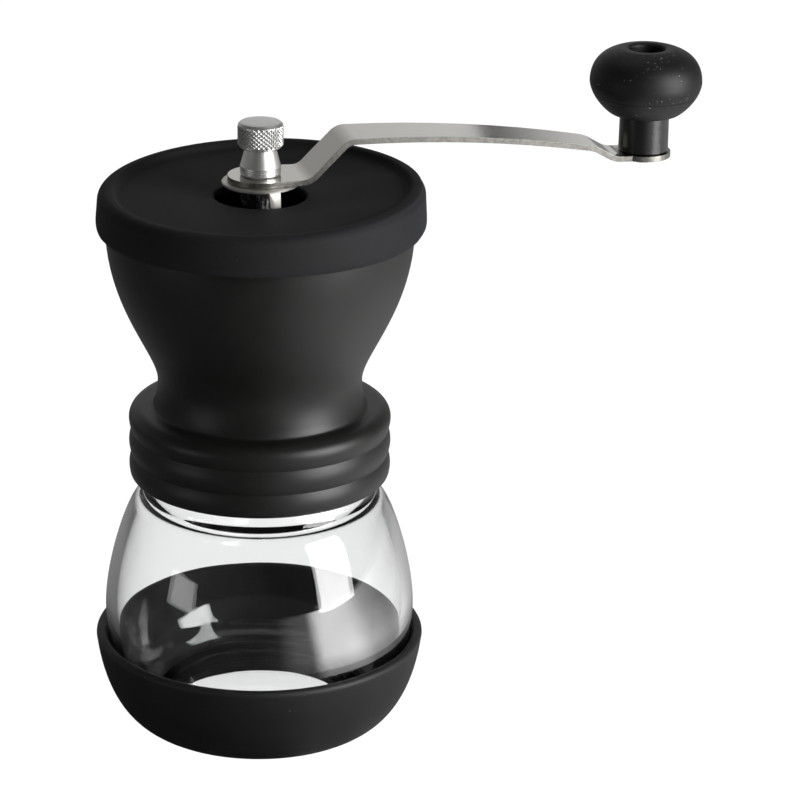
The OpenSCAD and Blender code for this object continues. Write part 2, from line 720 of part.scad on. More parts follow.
module knurled_nut() {
    nut_z = hub_top_z + seat_gap;
    neck_z = nut_z + nut_body_h;
    top_z = neck_z + nut_head_h;
    foot_h = 2.8;
    chamfer = 0.8;
    seat_r = shaft_r + 0.3;
    seat_h = shaft_top_z - nut_z + 0.3;
    color([0.8, 0.8, 0.8]) difference() {
        rotate_extrude() polygon([
            [0, nut_z], [nut_foot_r, nut_z], [nut_foot_r, nut_z + foot_h], [nut_neck_r, neck_z],
            [nut_r - chamfer, neck_z], [nut_r, neck_z + chamfer], [nut_r, top_z - chamfer],
            [nut_r - chamfer, top_z], [0, top_z]]);
        translate([0, 0, nut_z - 1]) cylinder(r = stud_r + run_gap, h = stud_l + 2.5);
        translate([0, 0, nut_z - 1]) cylinder(r = seat_r, h = seat_h + 1);
    }
}

module knob_post() {
    pad_bottom_z = pad_top_z - strip_t;
    dome_h = 1;
    color([0.7, 0.7, 0.7]) translate([knob_x, 0, 0]) union() {
        translate([0, 0, pad_bottom_z - seat_gap - post_head_h]) cylinder(r = post_head_r, h = post_head_h);
        translate([0, 0, pad_bottom_z - seat_gap - 0.5])
            cylinder(r = post_r, h = sleeve_top_z + 1.6 - pad_bottom_z + seat_gap + 0.5);
        translate([0, 0, sleeve_top_z + 1.6]) cylinder(r1 = post_r, r2 = post_r * 0.6, h = dome_h);
    }
}

module knob_washer() {
    color([0.65, 0.65, 0.65]) translate([knob_x, 0, 0])
        ring(knob_washer_r, post_r + run_gap, sleeve_top_z + seat_gap, washer_t);
}

module knob_stem() {
    color([0.05, 0.05, 0.05]) translate([knob_x, 0, 0]) difference() {
        union() {
            translate([0, 0, stem_z]) cylinder(r = stem_r, h = stem_h - seat_gap);
            translate([0, 0, stem_z]) cylinder(r = sleeve_r, h = sleeve_top_z - stem_z);
        }
        translate([0, 0, stem_z - 1]) cylinder(r = post_r + run_gap, h = sleeve_top_z - stem_z + 2);
    }
}

module knob_head() {
    under_r = 9.6;
    crown_r = 7.6;
    lip = 1.1;
    bulge = concat(
        curve([under_r, head_z], [under_r + 1.2, head_z + 0.4],
              [knob_r - 0.4, widest_z - 4.6], [knob_r, widest_z]),
        curve([knob_r, widest_z + 0.05], [knob_r, widest_z + 4.8],
              [knob_r - 2.4, knob_top_z - 1.3], [crown_r, knob_top_z]));
    color([0.08, 0.08, 0.08]) translate([knob_x, 0, 0]) rotate_extrude() polygon(concat(
        [[sleeve_r + seat_gap, head_z]],
        bulge,
        arc([knob_hole_r + lip, knob_top_z - lip], lip, 90, 180),
        [[knob_hole_r, sleeve_top_z + seat_gap], [sleeve_r + seat_gap, sleeve_top_z + seat_gap]]));
}

base_cover();
glass_jar();
hopper();
bearing_column();
upper_bush();
lower_bush();
outer_burr();
burr_carrier();
carrier_screws();
thrust_washer();
adjuster_nut();
lock_ring();
drive_shaft();
inner_burr();
drive_plate();
burr_nut();
spring_washer_upper();
spring_washer_lower();
spring();
lid();
crank_arm();
knurled_nut();
knob_post();
knob_washer();
knob_stem();
knob_head();
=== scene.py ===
"""Looks of a hand crank coffee grinder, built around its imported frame.

The frame holds the solids and the joints. This script models what is seen in finer detail, dresses every
piece with a procedural finish, and sets up the camera and a plain pale studio. Lengths are in metres.
"""

import logging
import math
from contextlib import contextmanager
from dataclasses import dataclass, field
from enum import Enum
from typing import Callable, Iterator, Optional, Sequence

import bmesh
import bpy
from mathutils import Matrix, Vector


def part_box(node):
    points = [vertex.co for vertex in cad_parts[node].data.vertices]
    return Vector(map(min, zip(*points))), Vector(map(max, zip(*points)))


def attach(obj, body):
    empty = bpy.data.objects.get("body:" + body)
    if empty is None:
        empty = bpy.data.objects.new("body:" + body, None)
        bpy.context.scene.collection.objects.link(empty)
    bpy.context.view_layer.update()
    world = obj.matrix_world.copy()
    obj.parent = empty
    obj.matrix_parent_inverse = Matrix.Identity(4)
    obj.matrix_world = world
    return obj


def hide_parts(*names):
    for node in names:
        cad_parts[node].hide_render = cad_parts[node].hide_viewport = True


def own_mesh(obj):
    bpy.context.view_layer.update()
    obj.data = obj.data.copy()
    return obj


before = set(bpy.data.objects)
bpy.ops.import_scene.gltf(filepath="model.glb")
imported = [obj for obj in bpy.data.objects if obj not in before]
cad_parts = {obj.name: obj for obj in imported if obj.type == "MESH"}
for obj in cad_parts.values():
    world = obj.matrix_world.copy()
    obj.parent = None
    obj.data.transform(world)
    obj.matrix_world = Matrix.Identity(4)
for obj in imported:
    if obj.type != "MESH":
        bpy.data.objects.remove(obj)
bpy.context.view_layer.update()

Point = tuple[float, float]
Colour = tuple[float, float, float]

MM = 0.001
TINY = 1e-7
MERGE = 1e-6
MIX_A, MIX_B, MIX_RESULT = 6, 7, 2
log = logging.getLogger("grinder")


class Body(str, Enum):
    """The bodies of the frame that pieces ride on."""

    HOPPER = "hopper_body"
    SHAFT = "shaft"
    COVER = "cover"
    JAR = "jar"
    LID = "lid"
    LOCK = "lock"
    ADJUSTER = "adjuster"
    CRANK = "crank"
    KNOB = "knob"
    NUT = "top_nut"


# ---------------------------------------------------------------------------------------------------------
# Curves
# ---------------------------------------------------------------------------------------------------------


def bezier(a: Point, b: Point, c: Point, d: Point, steps: int = 14) -> list[Point]:
    """Points of a cubic curve.

    Args:
        a: Where it starts.
        b: Handle of the start.
        c: Handle of the end.
        d: Where it ends.
        steps: Number of stretches.

    Returns:
        The points from a to d.
    """
    points = []
    for i in range(steps + 1):
        t = i / steps
        weights = ((1 - t) ** 3, 3 * (1 - t) ** 2 * t, 3 * (1 - t) * t * t, t**3)
        points.append(tuple(sum(w * p[k] for w, p in zip(weights, (a, b, c, d))) for k in (0, 1)))
    return points


def arc(centre: Point, radius: float, start: float, end: float, steps: int = 8) -> list[Point]:
    """Points of a circular arc.

    Args:
        centre: Centre of the circle.
        radius: Its radius.
        start: Angle of the first point, in degrees.
        end: Angle of the last point, in degrees.
        steps: Number of stretches.

    Returns:
        The points from start to end.
    """
    turns = [math.radians(start + (end - start) * i / steps) for i in range(steps + 1)]
    return [(centre[0] + radius * math.cos(t), centre[1] + radius * math.sin(t)) for t in turns]


def ease(value: float, low: float, high: float) -> float:
    """A smooth rise from 0 to 1.

    Args:
        value: Where to read it.
        low: Where it leaves 0.
        high: Where it reaches 1.

    Returns:
        The height of the rise.
    """
    t = min(max((value - low) / (high - low), 0.0), 1.0)
    return t * t * (3 - 2 * t)


def beside(points: Sequence[Point], distance: float) -> list[Point]:
    """A line moved sideways.

    Args:
        points: The line.
        distance: How far it moves to the left of its direction.

    Returns:
        The moved points.
    """
    moved = []
    last = len(points) - 1
    for i, (x, y) in enumerate(points):
        before, after = points[max(i - 1, 0)], points[min(i + 1, last)]
        dx, dy = after[0] - before[0], after[1] - before[1]
        length = math.hypot(dx, dy)
        moved.append((x - distance * dy / length, y + distance * dx / length))
    return moved


def bent_path(start: Point, moves: Sequence[tuple[float, float, float]], steps: int = 8) -> list[Point]:
    """A strip's middle line: each move goes straight and then turns on a radius.

    Args:
        start: Where the line starts, heading along the first axis.
        moves: Straight length, turn in degrees and bend radius of each move.
        steps: Number of stretches of each bend.

    Returns:
        The points of the line.
    """
    x, y = start
    heading = 0.0
    points = [start]
    for straight, turn, radius in moves:
        if straight > 0:
            x, y = x + straight * math.cos(heading), y + straight * math.sin(heading)
            points.append((x, y))
        side = math.copysign(1.0, turn)
        centre = (x - radius * side * math.sin(heading), y + radius * side * math.cos(heading))
        for i in range(1, steps + 1):
            t = heading + math.radians(turn) * i / steps
            points.append((centre[0] + radius * side * math.sin(t), centre[1] - radius * side * math.cos(t)))
        heading += math.radians(turn)
        x, y = points[-1]
    return points


# ---------------------------------------------------------------------------------------------------------
# The bench: meshes shaped with Blender's own tools
# ---------------------------------------------------------------------------------------------------------


def deselect() -> None:
    """Deselects every object."""
    bpy.ops.object.select_all(action="DESELECT")


class Work:
    """A mesh object on the bench."""

    def __init__(self, obj: bpy.types.Object, name: str) -> None:
        """Takes an object as the workpiece.

        Args:
            obj: The object.
            name: Name of the piece.
        """
        self.obj = obj
        obj.name = name
        obj.data.name = name

    @classmethod
    def added(cls, name: str, primitive: Callable[..., set], **settings: object) -> "Work":
        """Starts a workpiece from a primitive.

        Args:
            name: Name of the piece.
            primitive: The operator that adds it.
            settings: What the operator is given.

        Returns:
            The workpiece.
        """
        deselect()
        primitive(**settings)
        return cls(bpy.context.object, name).settle()

    @classmethod
    def like(cls, node: bpy.types.Object, name: str) -> "Work":
        """Starts a workpiece from a copy of a node's mesh.

        Args:
            node: The frame's node.
            name: Name of the piece.

        Returns:
            The workpiece.
        """
        obj = bpy.data.objects.new(name, node.data.copy())
        bpy.context.scene.collection.objects.link(obj)
        return cls(obj, name)

    def settle(self) -> "Work":
        """Puts the object's place, turn and scale into its mesh."""
        bpy.ops.object.transform_apply(location=True, rotation=True, scale=True)
        return self

    def turn(self, angle: float) -> "Work":
        """Turns the piece about the grinder's axis.

        Args:
            angle: Anticlockwise from above, in degrees.

        Returns:
            This workpiece.
        """
        self.activate()
        bpy.ops.transform.rotate(value=-math.radians(angle), orient_axis="Z", center_override=(0, 0, 0))
        return self.settle()

    def activate(self) -> None:
        """Makes this the only selected object, and the active one."""
        deselect()
        self.obj.select_set(True)
        bpy.context.view_layer.objects.active = self.obj

    @contextmanager
    def editing(self) -> Iterator[None]:
        """Edit mode with nothing selected, in vertex mode."""
        self.activate()
        bpy.ops.object.mode_set(mode="EDIT")
        bpy.ops.mesh.select_mode(type="VERT")
        bpy.ops.mesh.select_all(action="DESELECT")
        yield
        bpy.ops.object.mode_set(mode="OBJECT")

    def pick(self, test: Callable[[Vector], bool]) -> None:
        """Selects the vertices that a test names; used in edit mode.

        Args:
            test: Says from its place whether a vertex is wanted.
        """
        shape = bmesh.from_edit_mesh(self.obj.data)
        for vertex in shape.verts:
            vertex.select = test(vertex.co)
        shape.select_flush_mode()
        bmesh.update_edit_mesh(self.obj.data)

    def modify(self, kind: str, **settings: object) -> "Work":
        """Adds a modifier and applies it.

        Args:
            kind: The modifier's type.
            settings: Its values.

        Returns:
            This workpiece.
        """
        self.activate()
        modifier = self.obj.modifiers.new(kind.lower(), kind)
        for key, value in settings.items():
            setattr(modifier, key, value)
        bpy.ops.object.modifier_apply(modifier=modifier.name)
        return self

    def cut(self, other: "Work", operation: str = "DIFFERENCE") -> "Work":
        """Cuts, joins or trims this piece by another, which is used up.

        Args:
            other: The tool.
            operation: DIFFERENCE, UNION or INTERSECT.

        Returns:
            This workpiece.
        """
        self.modify("BOOLEAN", object=other.obj, operation=operation, solver="EXACT")
        bpy.data.objects.remove(other.obj)
        return self

    def warp(self, shift: Callable[[Vector], Vector]) -> "Work":
        """Moves every vertex as a rule says, for soft shapes.

        Args:
            shift: Gives the move of a vertex from its place.

        Returns:
            This workpiece.
        """
        with self.editing():
            shape = bmesh.from_edit_mesh(self.obj.data)
            for vertex in shape.verts:
                vertex.co += shift(vertex.co)
            bmesh.update_edit_mesh(self.obj.data)
        return self

    def tidy(self, smooth_angle: float = 32.0) -> "Work":
        """Merges doubles, turns the faces outwards and smooths soft edges.

        Args:
            smooth_angle: Edges sharper than this stay sharp, in degrees.

        Returns:
            This workpiece.
        """
        with self.editing():
            bpy.ops.mesh.select_all(action="SELECT")
            bpy.ops.mesh.remove_doubles(threshold=MERGE)
            bpy.ops.mesh.normals_make_consistent(inside=False)
        self.activate()
        bpy.ops.object.shade_smooth_by_angle(angle=math.radians(smooth_angle))
        return self

    def finish(self, body: Body, material: bpy.types.Material, slot: str,
               replaces: Sequence[str] = ()) -> None:
        """Dresses the piece and gives it to the frame.

        Args:
            body: The body that it rides on.
            material: Its finish.
            slot: Not used.
            replaces: The frame's nodes that it stands for.
        """
        self.obj.data.materials.clear()
        self.obj.data.materials.append(material)
        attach(self.obj, body.value)
        if replaces:
            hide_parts(*replaces)
        log.info("%s: %d faces on %s", self.obj.name, len(self.obj.data.polygons), body.value)


def turned(name: str, profile: Sequence[Point], x: float = 0.0, segments: int = 144,
           ring: bool = False) -> Work:
    """A piece turned on a lathe: one circle, extruded and resized along its profile.

    Args:
        name: Name of the piece.
        profile: Radius and height of each ring; a radius of 0 closes the piece there.
        x: Where the upright axis stands.
        segments: Number of faces around.
        ring: True where the profile closes on itself round a hole.

    Returns:
        The turned piece.
    """
    rings = list(profile) + ([profile[0]] if ring else [])
    from_pole = rings[0][0] < TINY
    radius, height = rings[1] if from_pole else rings[0]
    work = Work.added(name, bpy.ops.mesh.primitive_circle_add, vertices=segments, radius=radius,
                      location=(x, 0, height), fill_type="TRIFAN" if from_pole else "NOTHING")
    with work.editing():
        if from_pole:
            work.pick(lambda v: math.hypot(v.x - x, v.y) < radius / 2)
            bpy.ops.transform.translate(value=(0, 0, rings[0][1] - height))
        work.pick(lambda v: math.hypot(v.x - x, v.y) > radius / 2)
        for new_radius, new_height in rings[2 if from_pole else 1:]:
            bpy.ops.mesh.extrude_region_move(TRANSFORM_OT_translate={"value": (0, 0, new_height - height)})
            if new_radius < TINY:
                bpy.ops.mesh.merge(type="CENTER")
                break
            scale = new_radius / radius
            bpy.ops.transform.resize(value=(scale, scale, 1), center_override=(x, 0, new_height))
            radius, height = new_radius, new_height
    return work.tidy()


def rod(name: str, radius: float, low: float, high: float, x: float = 0.0, vertices: int = 64) -> Work:
    """A plain upright rod, used as a tool or trimmed further.

    Args:
        name: Name of the piece.
        radius: Its radius.
        low: Height of its lower end.
        high: Height of its upper end.
        x: Where its axis stands.
        vertices: Number of sides.

    Returns:
        The rod.
    """
    return Work.added(name, bpy.ops.mesh.primitive_cylinder_add, vertices=vertices, radius=radius,
                      depth=high - low, location=(x, 0, (low + high) / 2))


def block(name: str, low: Sequence[float], high: Sequence[float]) -> Work:
    """A block between two corners, used as a tool or shaped further.

    Args:
        name: Name of the piece.
        low: Its lowest corner.
        high: Its highest corner.

    Returns:
        The block.
    """
    centre = [(a + b) / 2 for a, b in zip(low, high)]
    scale = [b - a for a, b in zip(low, high)]
    return Work.added(name, bpy.ops.mesh.primitive_cube_add, size=1, location=centre, scale=scale)


# ---------------------------------------------------------------------------------------------------------
# Shader maths
# ---------------------------------------------------------------------------------------------------------


class Value:
    """A socket that can be used in sums; each operator adds one Math node."""

    def __init__(self, graph: "Graph", socket: bpy.types.NodeSocket) -> None:
        """Wraps a socket of a graph."""
        self.graph = graph
        self.socket = socket

    def math(self, operation: str, *others: object) -> "Value":
        """Adds a Math node with this value first.

        Args:
            operation: The node's operation.
            others: The other operands.

        Returns:
            The result.
        """
        operands = dict(enumerate((self, *others)))
        return self.graph.node("ShaderNodeMath", {"operation": operation}, operands)

    def __add__(self, other: object) -> "Value":
        """This plus other."""
        return self.math("ADD", other)

    __radd__ = __add__

    def __mul__(self, other: object) -> "Value":
        """This times other."""
        return self.math("MULTIPLY", other)

    __rmul__ = __mul__

    def __sub__(self, other: object) -> "Value":
        """This minus other."""
        return self.math("SUBTRACT", other)

    def __rsub__(self, other: float) -> "Value":
        """Other minus this."""
        return self.math("MULTIPLY", -1.0).math("ADD", other)

    def above(self, edge: float, softness: float) -> "Value":
        """A mask that rises from 0 to 1 around an edge.

        Args:
            edge: The value at the middle of the rise.
            softness: The width of the rise.

        Returns:
            The mask.
        """
        limits = {"From Min": edge - softness / 2, "From Max": edge + softness / 2}
        settings = {"interpolation_type": "SMOOTHSTEP"}
        return self.graph.node("ShaderNodeMapRange", settings, {"Value": self, **limits})


class Graph:
    """A node tree under construction."""

    def __init__(self, tree: bpy.types.NodeTree) -> None:
        """Takes a node tree.

        Args:
            tree: The tree.
        """
        self.tree = tree

    def node(self, kind: str, settings: dict[str, object], inputs: dict[object, object],
             output: object = 0) -> Value:
        """Adds one node.

        Args:
            kind: The node's type.
            settings: Its own settings, set first; "stops" fills a colour ramp.
            inputs: Values or links of its sockets, by name or number.
            output: The output that is wanted.

        Returns:
            That output.
        """
        node = self.tree.nodes.new(kind)
        for key, value in settings.items():
            if key == "stops":
                elements = node.color_ramp.elements
                while len(elements) < len(value):
                    elements.new(1.0)
                for element, (position, shade) in zip(elements, value):
                    element.position = position
                    element.color = (shade, shade, shade, 1)
            else:
                setattr(node, key, value)
        for key, value in inputs.items():
            self.feed(node.inputs[key], value)
        return Value(self, node.outputs[output])

    def feed(self, socket: bpy.types.NodeSocket, value: object) -> None:
        """Links a value to a socket, or sets it there.

        Args:
            socket: The socket.
            value: A Value, number or tuple.
        """
        if isinstance(value, Value):
            self.tree.links.new(value.socket, socket)
        else:
            socket.default_value = value

    def views(self) -> tuple[Value, Value]:
        """Tells the two ways of seeing apart.

        Returns:
            Two masks: what is seen straight or through glass, and what is seen in a mirror image.
        """
        bounces = self.ray("Glossy Depth").math("ADD", self.ray("Diffuse Depth")).math("MINIMUM", 1.0)
        through = self.ray("Is Transmission Ray")
        seen = self.ray("Is Camera Ray").math("MAXIMUM", through * (1 - bounces))
        return seen, self.ray("Is Glossy Ray").math("MAXIMUM", through * bounces)

    def ray(self, kind: str) -> Value:
        """Whether a ray is of a kind.

        Args:
            kind: Name of the Light Path output.

        Returns:
            1 where it is, and 0 elsewhere.
        """
        return self.node("ShaderNodeLightPath", {}, {}, kind)


class Shader(Graph):
    """A material under construction, with a Principled surface."""

    def __init__(self, name: str) -> None:
        """Starts a material.

        Args:
            name: Its name.
        """
        self.material = bpy.data.materials.new(name)
        self.material.use_nodes = True
        super().__init__(self.material.node_tree)
        self.surface = self.tree.nodes["Principled BSDF"]
        self.place = self.node("ShaderNodeTexCoord", {}, {}, "Object")

    def set(self, **inputs: object) -> None:
        """Sets or links sockets of the surface; underscores stand for spaces."""
        for key, value in inputs.items():
            self.feed(self.surface.inputs[key.replace("_", " ")], value)

    def scaled(self, stretch: Colour) -> Value:
        """Object coordinates stretched along each axis."""
        return self.node("ShaderNodeMapping", {}, {"Vector": self.place, "Scale": stretch})

    def noise(self, scale: float, detail: float = 2.0, where: Optional[Value] = None) -> Value:
        """Noise between 0 and 1.

        Args:
            scale: Lumps per metre.
            detail: Number of finer layers.
            where: Coordinates; the object's own if left out.

        Returns:
            The noise.
        """
        inputs = {"Vector": where or self.place, "Scale": scale, "Detail": detail}
        return self.node("ShaderNodeTexNoise", {}, inputs)

    def mix(self, mask: Value, low: Value | Colour, high: Value | Colour) -> Value:
        """A colour between two.

        Args:
            mask: 0 gives low, and 1 gives high.
            low: The first colour.
            high: The second colour.

        Returns:
            The mixed colour.
        """
        ends = {socket: shade if isinstance(shade, Value) else (*shade, 1)
                for socket, shade in ((MIX_A, low), (MIX_B, high))}
        return self.node("ShaderNodeMix", {"data_type": "RGBA"}, {0: mask, **ends}, MIX_RESULT)

    def bump(self, height: Value, depth: float, strength: float = 1.0) -> None:
        """Gives the surface a relief.

        Args:
            height: 0 to 1.
            depth: What 1 means, in metres.
            strength: Share of it that shows.
        """
        inputs = {"Height": height, "Distance": depth, "Strength": strength}
        self.set(Normal=self.node("ShaderNodeBump", {}, inputs))


@dataclass(frozen=True)
class Moulded:
    """A moulded black plastic or rubber: fine grain, slight patches and a little dust."""

    name: str
    colour: Colour
    roughness: float
    grain: float = 9000.0
    grain_depth: float = 0.00002
    dust: float = 0.3
    dust_edge: float = 0.74
    dust_scale: float = 1700.0
    dust_grey: float = 0.3
    dust_lumps: float = 160.0
    patch_scale: float = 70.0
    wear: float = 1.35
    coat: float = 0.0
    coat_roughness: float = 0.08
    specular: float = 0.3

    def build(self) -> bpy.types.Material:
        """Makes the material."""
        s = Shader(self.name)
        patches = s.noise(self.patch_scale, 3)
        grain = s.noise(self.grain, 2)
        where = s.noise(self.dust_scale, 1).above(self.dust_edge, 0.03)
        specks = where * s.noise(self.dust_lumps, 2).above(0.55, 0.2)
        dusty = tuple(c + (self.dust_grey - c) * self.dust for c in self.colour)
        worn = tuple(c * self.wear for c in self.colour)
        shade = s.mix(patches.above(0.5, 0.5), self.colour, worn)
        s.set(Base_Color=s.mix(specks, shade, dusty))
        s.set(Roughness=self.roughness + 0.1 * (patches - 0.5) + 0.08 * (grain - 0.5))
        s.set(Coat_Weight=self.coat, Coat_Roughness=self.coat_roughness, Specular_IOR_Level=self.specular)
        s.bump(grain, self.grain_depth)
        return s.material


@dataclass(frozen=True)
class Satin:
    """A metal with fine lines drawn along one direction."""

    name: str
    colour: Colour
    roughness: float
    stretch: Colour
    line_depth: float = 0.000004
    contrast: float = 0.12
    stain_scale: float = 90.0

    def build(self) -> bpy.types.Material:
        """Makes the material."""
        s = Shader(self.name)
        lines = s.noise(1.0, 3, s.scaled(self.stretch))
        stains = s.noise(self.stain_scale, 3)
        dark = tuple(c * (1 - self.contrast) for c in self.colour)
        s.set(Metallic=1.0, Base_Color=s.mix(lines.above(0.5, 0.5), dark, self.colour))
        s.set(Roughness=self.roughness + 0.12 * (lines - 0.5) + 0.08 * (stains - 0.5))
        s.bump(lines, self.line_depth)
        return s.material


@dataclass(frozen=True)
class ClearGlass:
    """Thick clear pressed glass, slightly wavy."""

    name: str = "clear_glass"
    colour: Colour = (0.968, 0.975, 0.972)
    ior: float = 1.5
    waves: float = 55.0
    wave_depth: float = 0.0004
    wave_share: float = 0.18

    def build(self) -> bpy.types.Material:
        """Makes the material."""
        s = Shader(self.name)
        s.set(Base_Color=(*self.colour, 1), Roughness=0.0, IOR=self.ior, Transmission_Weight=1.0)
        s.bump(s.noise(self.waves, 1), self.wave_depth, self.wave_share)
        return s.material


@dataclass(frozen=True)
class Ceramic:
    """Sintered white ceramic with faint grey coffee stains."""

    name: str = "ceramic"
    colour: Colour = (0.84, 0.82, 0.77)
    stain: float = 0.8
    stain_scale: float = 260.0
    grain: float = 5000.0
    grain_depth: float = 0.00001

    def build(self) -> bpy.types.Material:
        """Makes the material."""
        s = Shader(self.name)
        stains = s.noise(self.stain_scale, 4)
        stained = tuple(c * self.stain for c in self.colour)
        s.set(Base_Color=s.mix(stains.above(0.55, 0.3), self.colour, stained))
        s.set(Roughness=0.35 + 0.2 * stains)
        s.bump(s.noise(self.grain, 2), self.grain_depth)
        return s.material


@dataclass
class Finishes:
    """Every material of the grinder, made once."""

    cover: bpy.types.Material = field(default_factory=Moulded(
        "cover_rubber", (0.0065, 0.0065, 0.007), 0.55, grain_depth=0.00003, dust=0.2, specular=0.45).build)
    lid: bpy.types.Material = field(default_factory=Moulded(
        "lid_rubber", (0.0072, 0.0075, 0.0086), 0.75, grain_depth=0.00003, dust=0.1, specular=0.3).build)
    knob: bpy.types.Material = field(default_factory=Moulded(
        "knob_rubber", (0.0062, 0.0062, 0.0063), 0.46, grain_depth=0.00004, dust=0.6, dust_edge=0.7).build)
    hopper: bpy.types.Material = field(default_factory=Moulded(
        "hopper_plastic", (0.006, 0.006, 0.0054), 0.42, dust=0.08, specular=0.45).build)
    gloss: bpy.types.Material = field(default_factory=Moulded(
        "gloss_black", (0.0045, 0.0045, 0.0047), 0.26, dust=0.0, coat=0.5, specular=0.6).build)
    # Painted sheen: the adjuster's black is lightened to stand in for light it misses in the lid hole's
    # shade; its specks are dust.
    specked_painted_sheen: bpy.types.Material = field(default_factory=Moulded(
        "specked_black_painted_sheen", (0.03, 0.03, 0.029), 0.3, dust=1.0, dust_edge=0.5, dust_scale=800,
        coat=0.6, specular=0.5).build)
    strip: bpy.types.Material = field(default_factory=Satin(
        "brushed_steel", (0.62, 0.605, 0.572), 0.1, (60, 7000, 7000), 0.000002, contrast=0.1).build)
    # Sheared edges: rougher, as sheared steel is, and darker as painted shade.
    sheared_shaded: bpy.types.Material = field(default_factory=Satin(
        "sheared_shaded_steel", (0.36, 0.35, 0.32), 0.38, (900, 900, 900), contrast=0.3).build)
    ring: bpy.types.Material = field(default_factory=Satin(
        "ring_steel", (0.72, 0.71, 0.66), 0.45, (500, 500, 2000), contrast=0.15).build)
    turned: bpy.types.Material = field(default_factory=Satin(
        "turned_aluminium", (0.86, 0.855, 0.84), 0.4, (40, 40, 14000), 0.000006).build)
    steel: bpy.types.Material = field(default_factory=Satin(
        "steel", (0.66, 0.66, 0.67), 0.22, (300, 300, 9000)).build)
    wire: bpy.types.Material = field(default_factory=Satin(
        "spring_steel", (0.5, 0.5, 0.52), 0.28, (600, 600, 600)).build)
    acetal: bpy.types.Material = field(default_factory=Moulded(
        "bush_plastic", (0.62, 0.57, 0.44), 0.4, dust=0.0).build)
    glass: bpy.types.Material = field(default_factory=ClearGlass().build)
    ceramic: bpy.types.Material = field(default_factory=Ceramic().build)


# ---------------------------------------------------------------------------------------------------------
# The grinder
# ---------------------------------------------------------------------------------------------------------


@dataclass
class JarLine:
    """The outer line of the glass, which the base cover follows too."""

    foot_r: float = 32.4 * MM
    belly_r: float = 44.7 * MM
    belly_h: float = 32.0 * MM
    shoulder_r: float = 36.0 * MM
    shoulder_h: float = 64.7 * MM
    neck_r: float = 33.2 * MM
    neck_h: float = 69.4 * MM
    heel_pull: Point = (6.2 * MM, 1.546 * MM)
    belly_pull: Point = (19.0 * MM, 11.0 * MM)
    shoulder_way: Point = (-0.643, 0.766)
    shoulder_pull: Point = (5 * MM, 3 * MM)
    neck_pull: float = 1.5 * MM

    def body(self, foot_z: float) -> list[Point]:
        """The line from the foot up to the belly.

        Args:
            foot_z: Height of the foot.

        Returns:
            The points of the line.
        """
        heel = (self.foot_r + self.heel_pull[0], foot_z + self.heel_pull[1])
        belly = (self.belly_r, foot_z + self.belly_h)
        return bezier((self.foot_r, foot_z), heel, (self.belly_r, belly[1] - self.belly_pull[0]), belly, 22)

    def shoulder(self, foot_z: float) -> list[Point]:
        """The line from the belly up to the straight neck.

        Args:
            foot_z: Height of the foot.

        Returns:
            The points of the line, without the belly's.
        """
        belly = (self.belly_r, foot_z + self.belly_h)
        corner = (self.shoulder_r, foot_z + self.shoulder_h)
        pull_in, pull_out = (
            (corner[0] + pull * self.shoulder_way[0], corner[1] + pull * self.shoulder_way[1])
            for pull in (-self.shoulder_pull[0], self.shoulder_pull[1]))
        neck = (self.neck_r, foot_z + self.neck_h)
        upper = bezier(belly, (self.belly_r, belly[1] + self.belly_pull[1]), pull_in, corner, 18)
        return upper[1:] + bezier(corner, pull_out, (self.neck_r, neck[1] - self.neck_pull), neck, 8)[1:]


@dataclass
class Collar:
    """The hopper's collar, which the glass screws into."""

    plate_gap: float = 0.1 * MM
    plate_t: float = 3.6 * MM
    height: float = 21.0 * MM
    inner_r: float = 35.0 * MM

    @property
    def plate(self) -> float:
        """Height of the plate's underside."""
        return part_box("glass_jar")[1].z + self.plate_gap

    @property
    def top(self) -> float:
        """Height of the collar's top."""
        return self.plate + self.plate_t

    @property
    def foot(self) -> float:
        """Height of the collar's foot."""
        return self.top - self.height


@dataclass
class BaseCover:
    """Thick rubber cup with a rolled rim and a round hole in its floor."""

    line: JarLine
    finishes: Finishes
    wall: float = 3.0 * MM
    gap: float = 0.3 * MM
    floor: float = 3.0 * MM
    hole_r: float = 24.5 * MM
    edge: float = 0.4 * MM
    foot_edge: float = 1.2 * MM
    foot_lift: float = 0.08 * MM
    rim_h: float = 1.2 * MM
    rim_lean: float = 0.12 * MM

    def build(self) -> None:
        """Models the cup from one closed profile."""
        low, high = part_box("base_cover")
        foot_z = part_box("glass_jar")[0].z
        body = [p for p in self.line.body(foot_z) if p[1] < high.z - self.rim_h]
        inner = [p for p in beside(body, -self.gap) if p[1] > self.floor]
        outer = [p for p in beside(body, -self.gap - self.wall) if p[1] > low.z + 0.3 * MM]
        rim_r = (outer[-1][0] + inner[-1][0]) / 2 + self.rim_lean
        roll = (outer[-1][0] - inner[-1][0]) / 2
        rim = arc((rim_r, high.z - roll), roll, 0, 180, 10)
        edge = self.edge
        profile = [(self.hole_r + edge, low.z), (outer[0][0] - self.foot_edge, low.z)]
        profile += [(outer[0][0] - edge, low.z + self.foot_lift)] + outer + rim + list(reversed(inner))
        profile += [(self.line.foot_r + self.gap, self.floor), (self.hole_r + edge, self.floor)]
        profile += [(self.hole_r, self.floor - edge), (self.hole_r, low.z + edge)]
        work = turned("base_cover_rubber", profile, ring=True)
        work.finish(Body.COVER, self.finishes.cover, "cover_rubber", ["base_cover"])


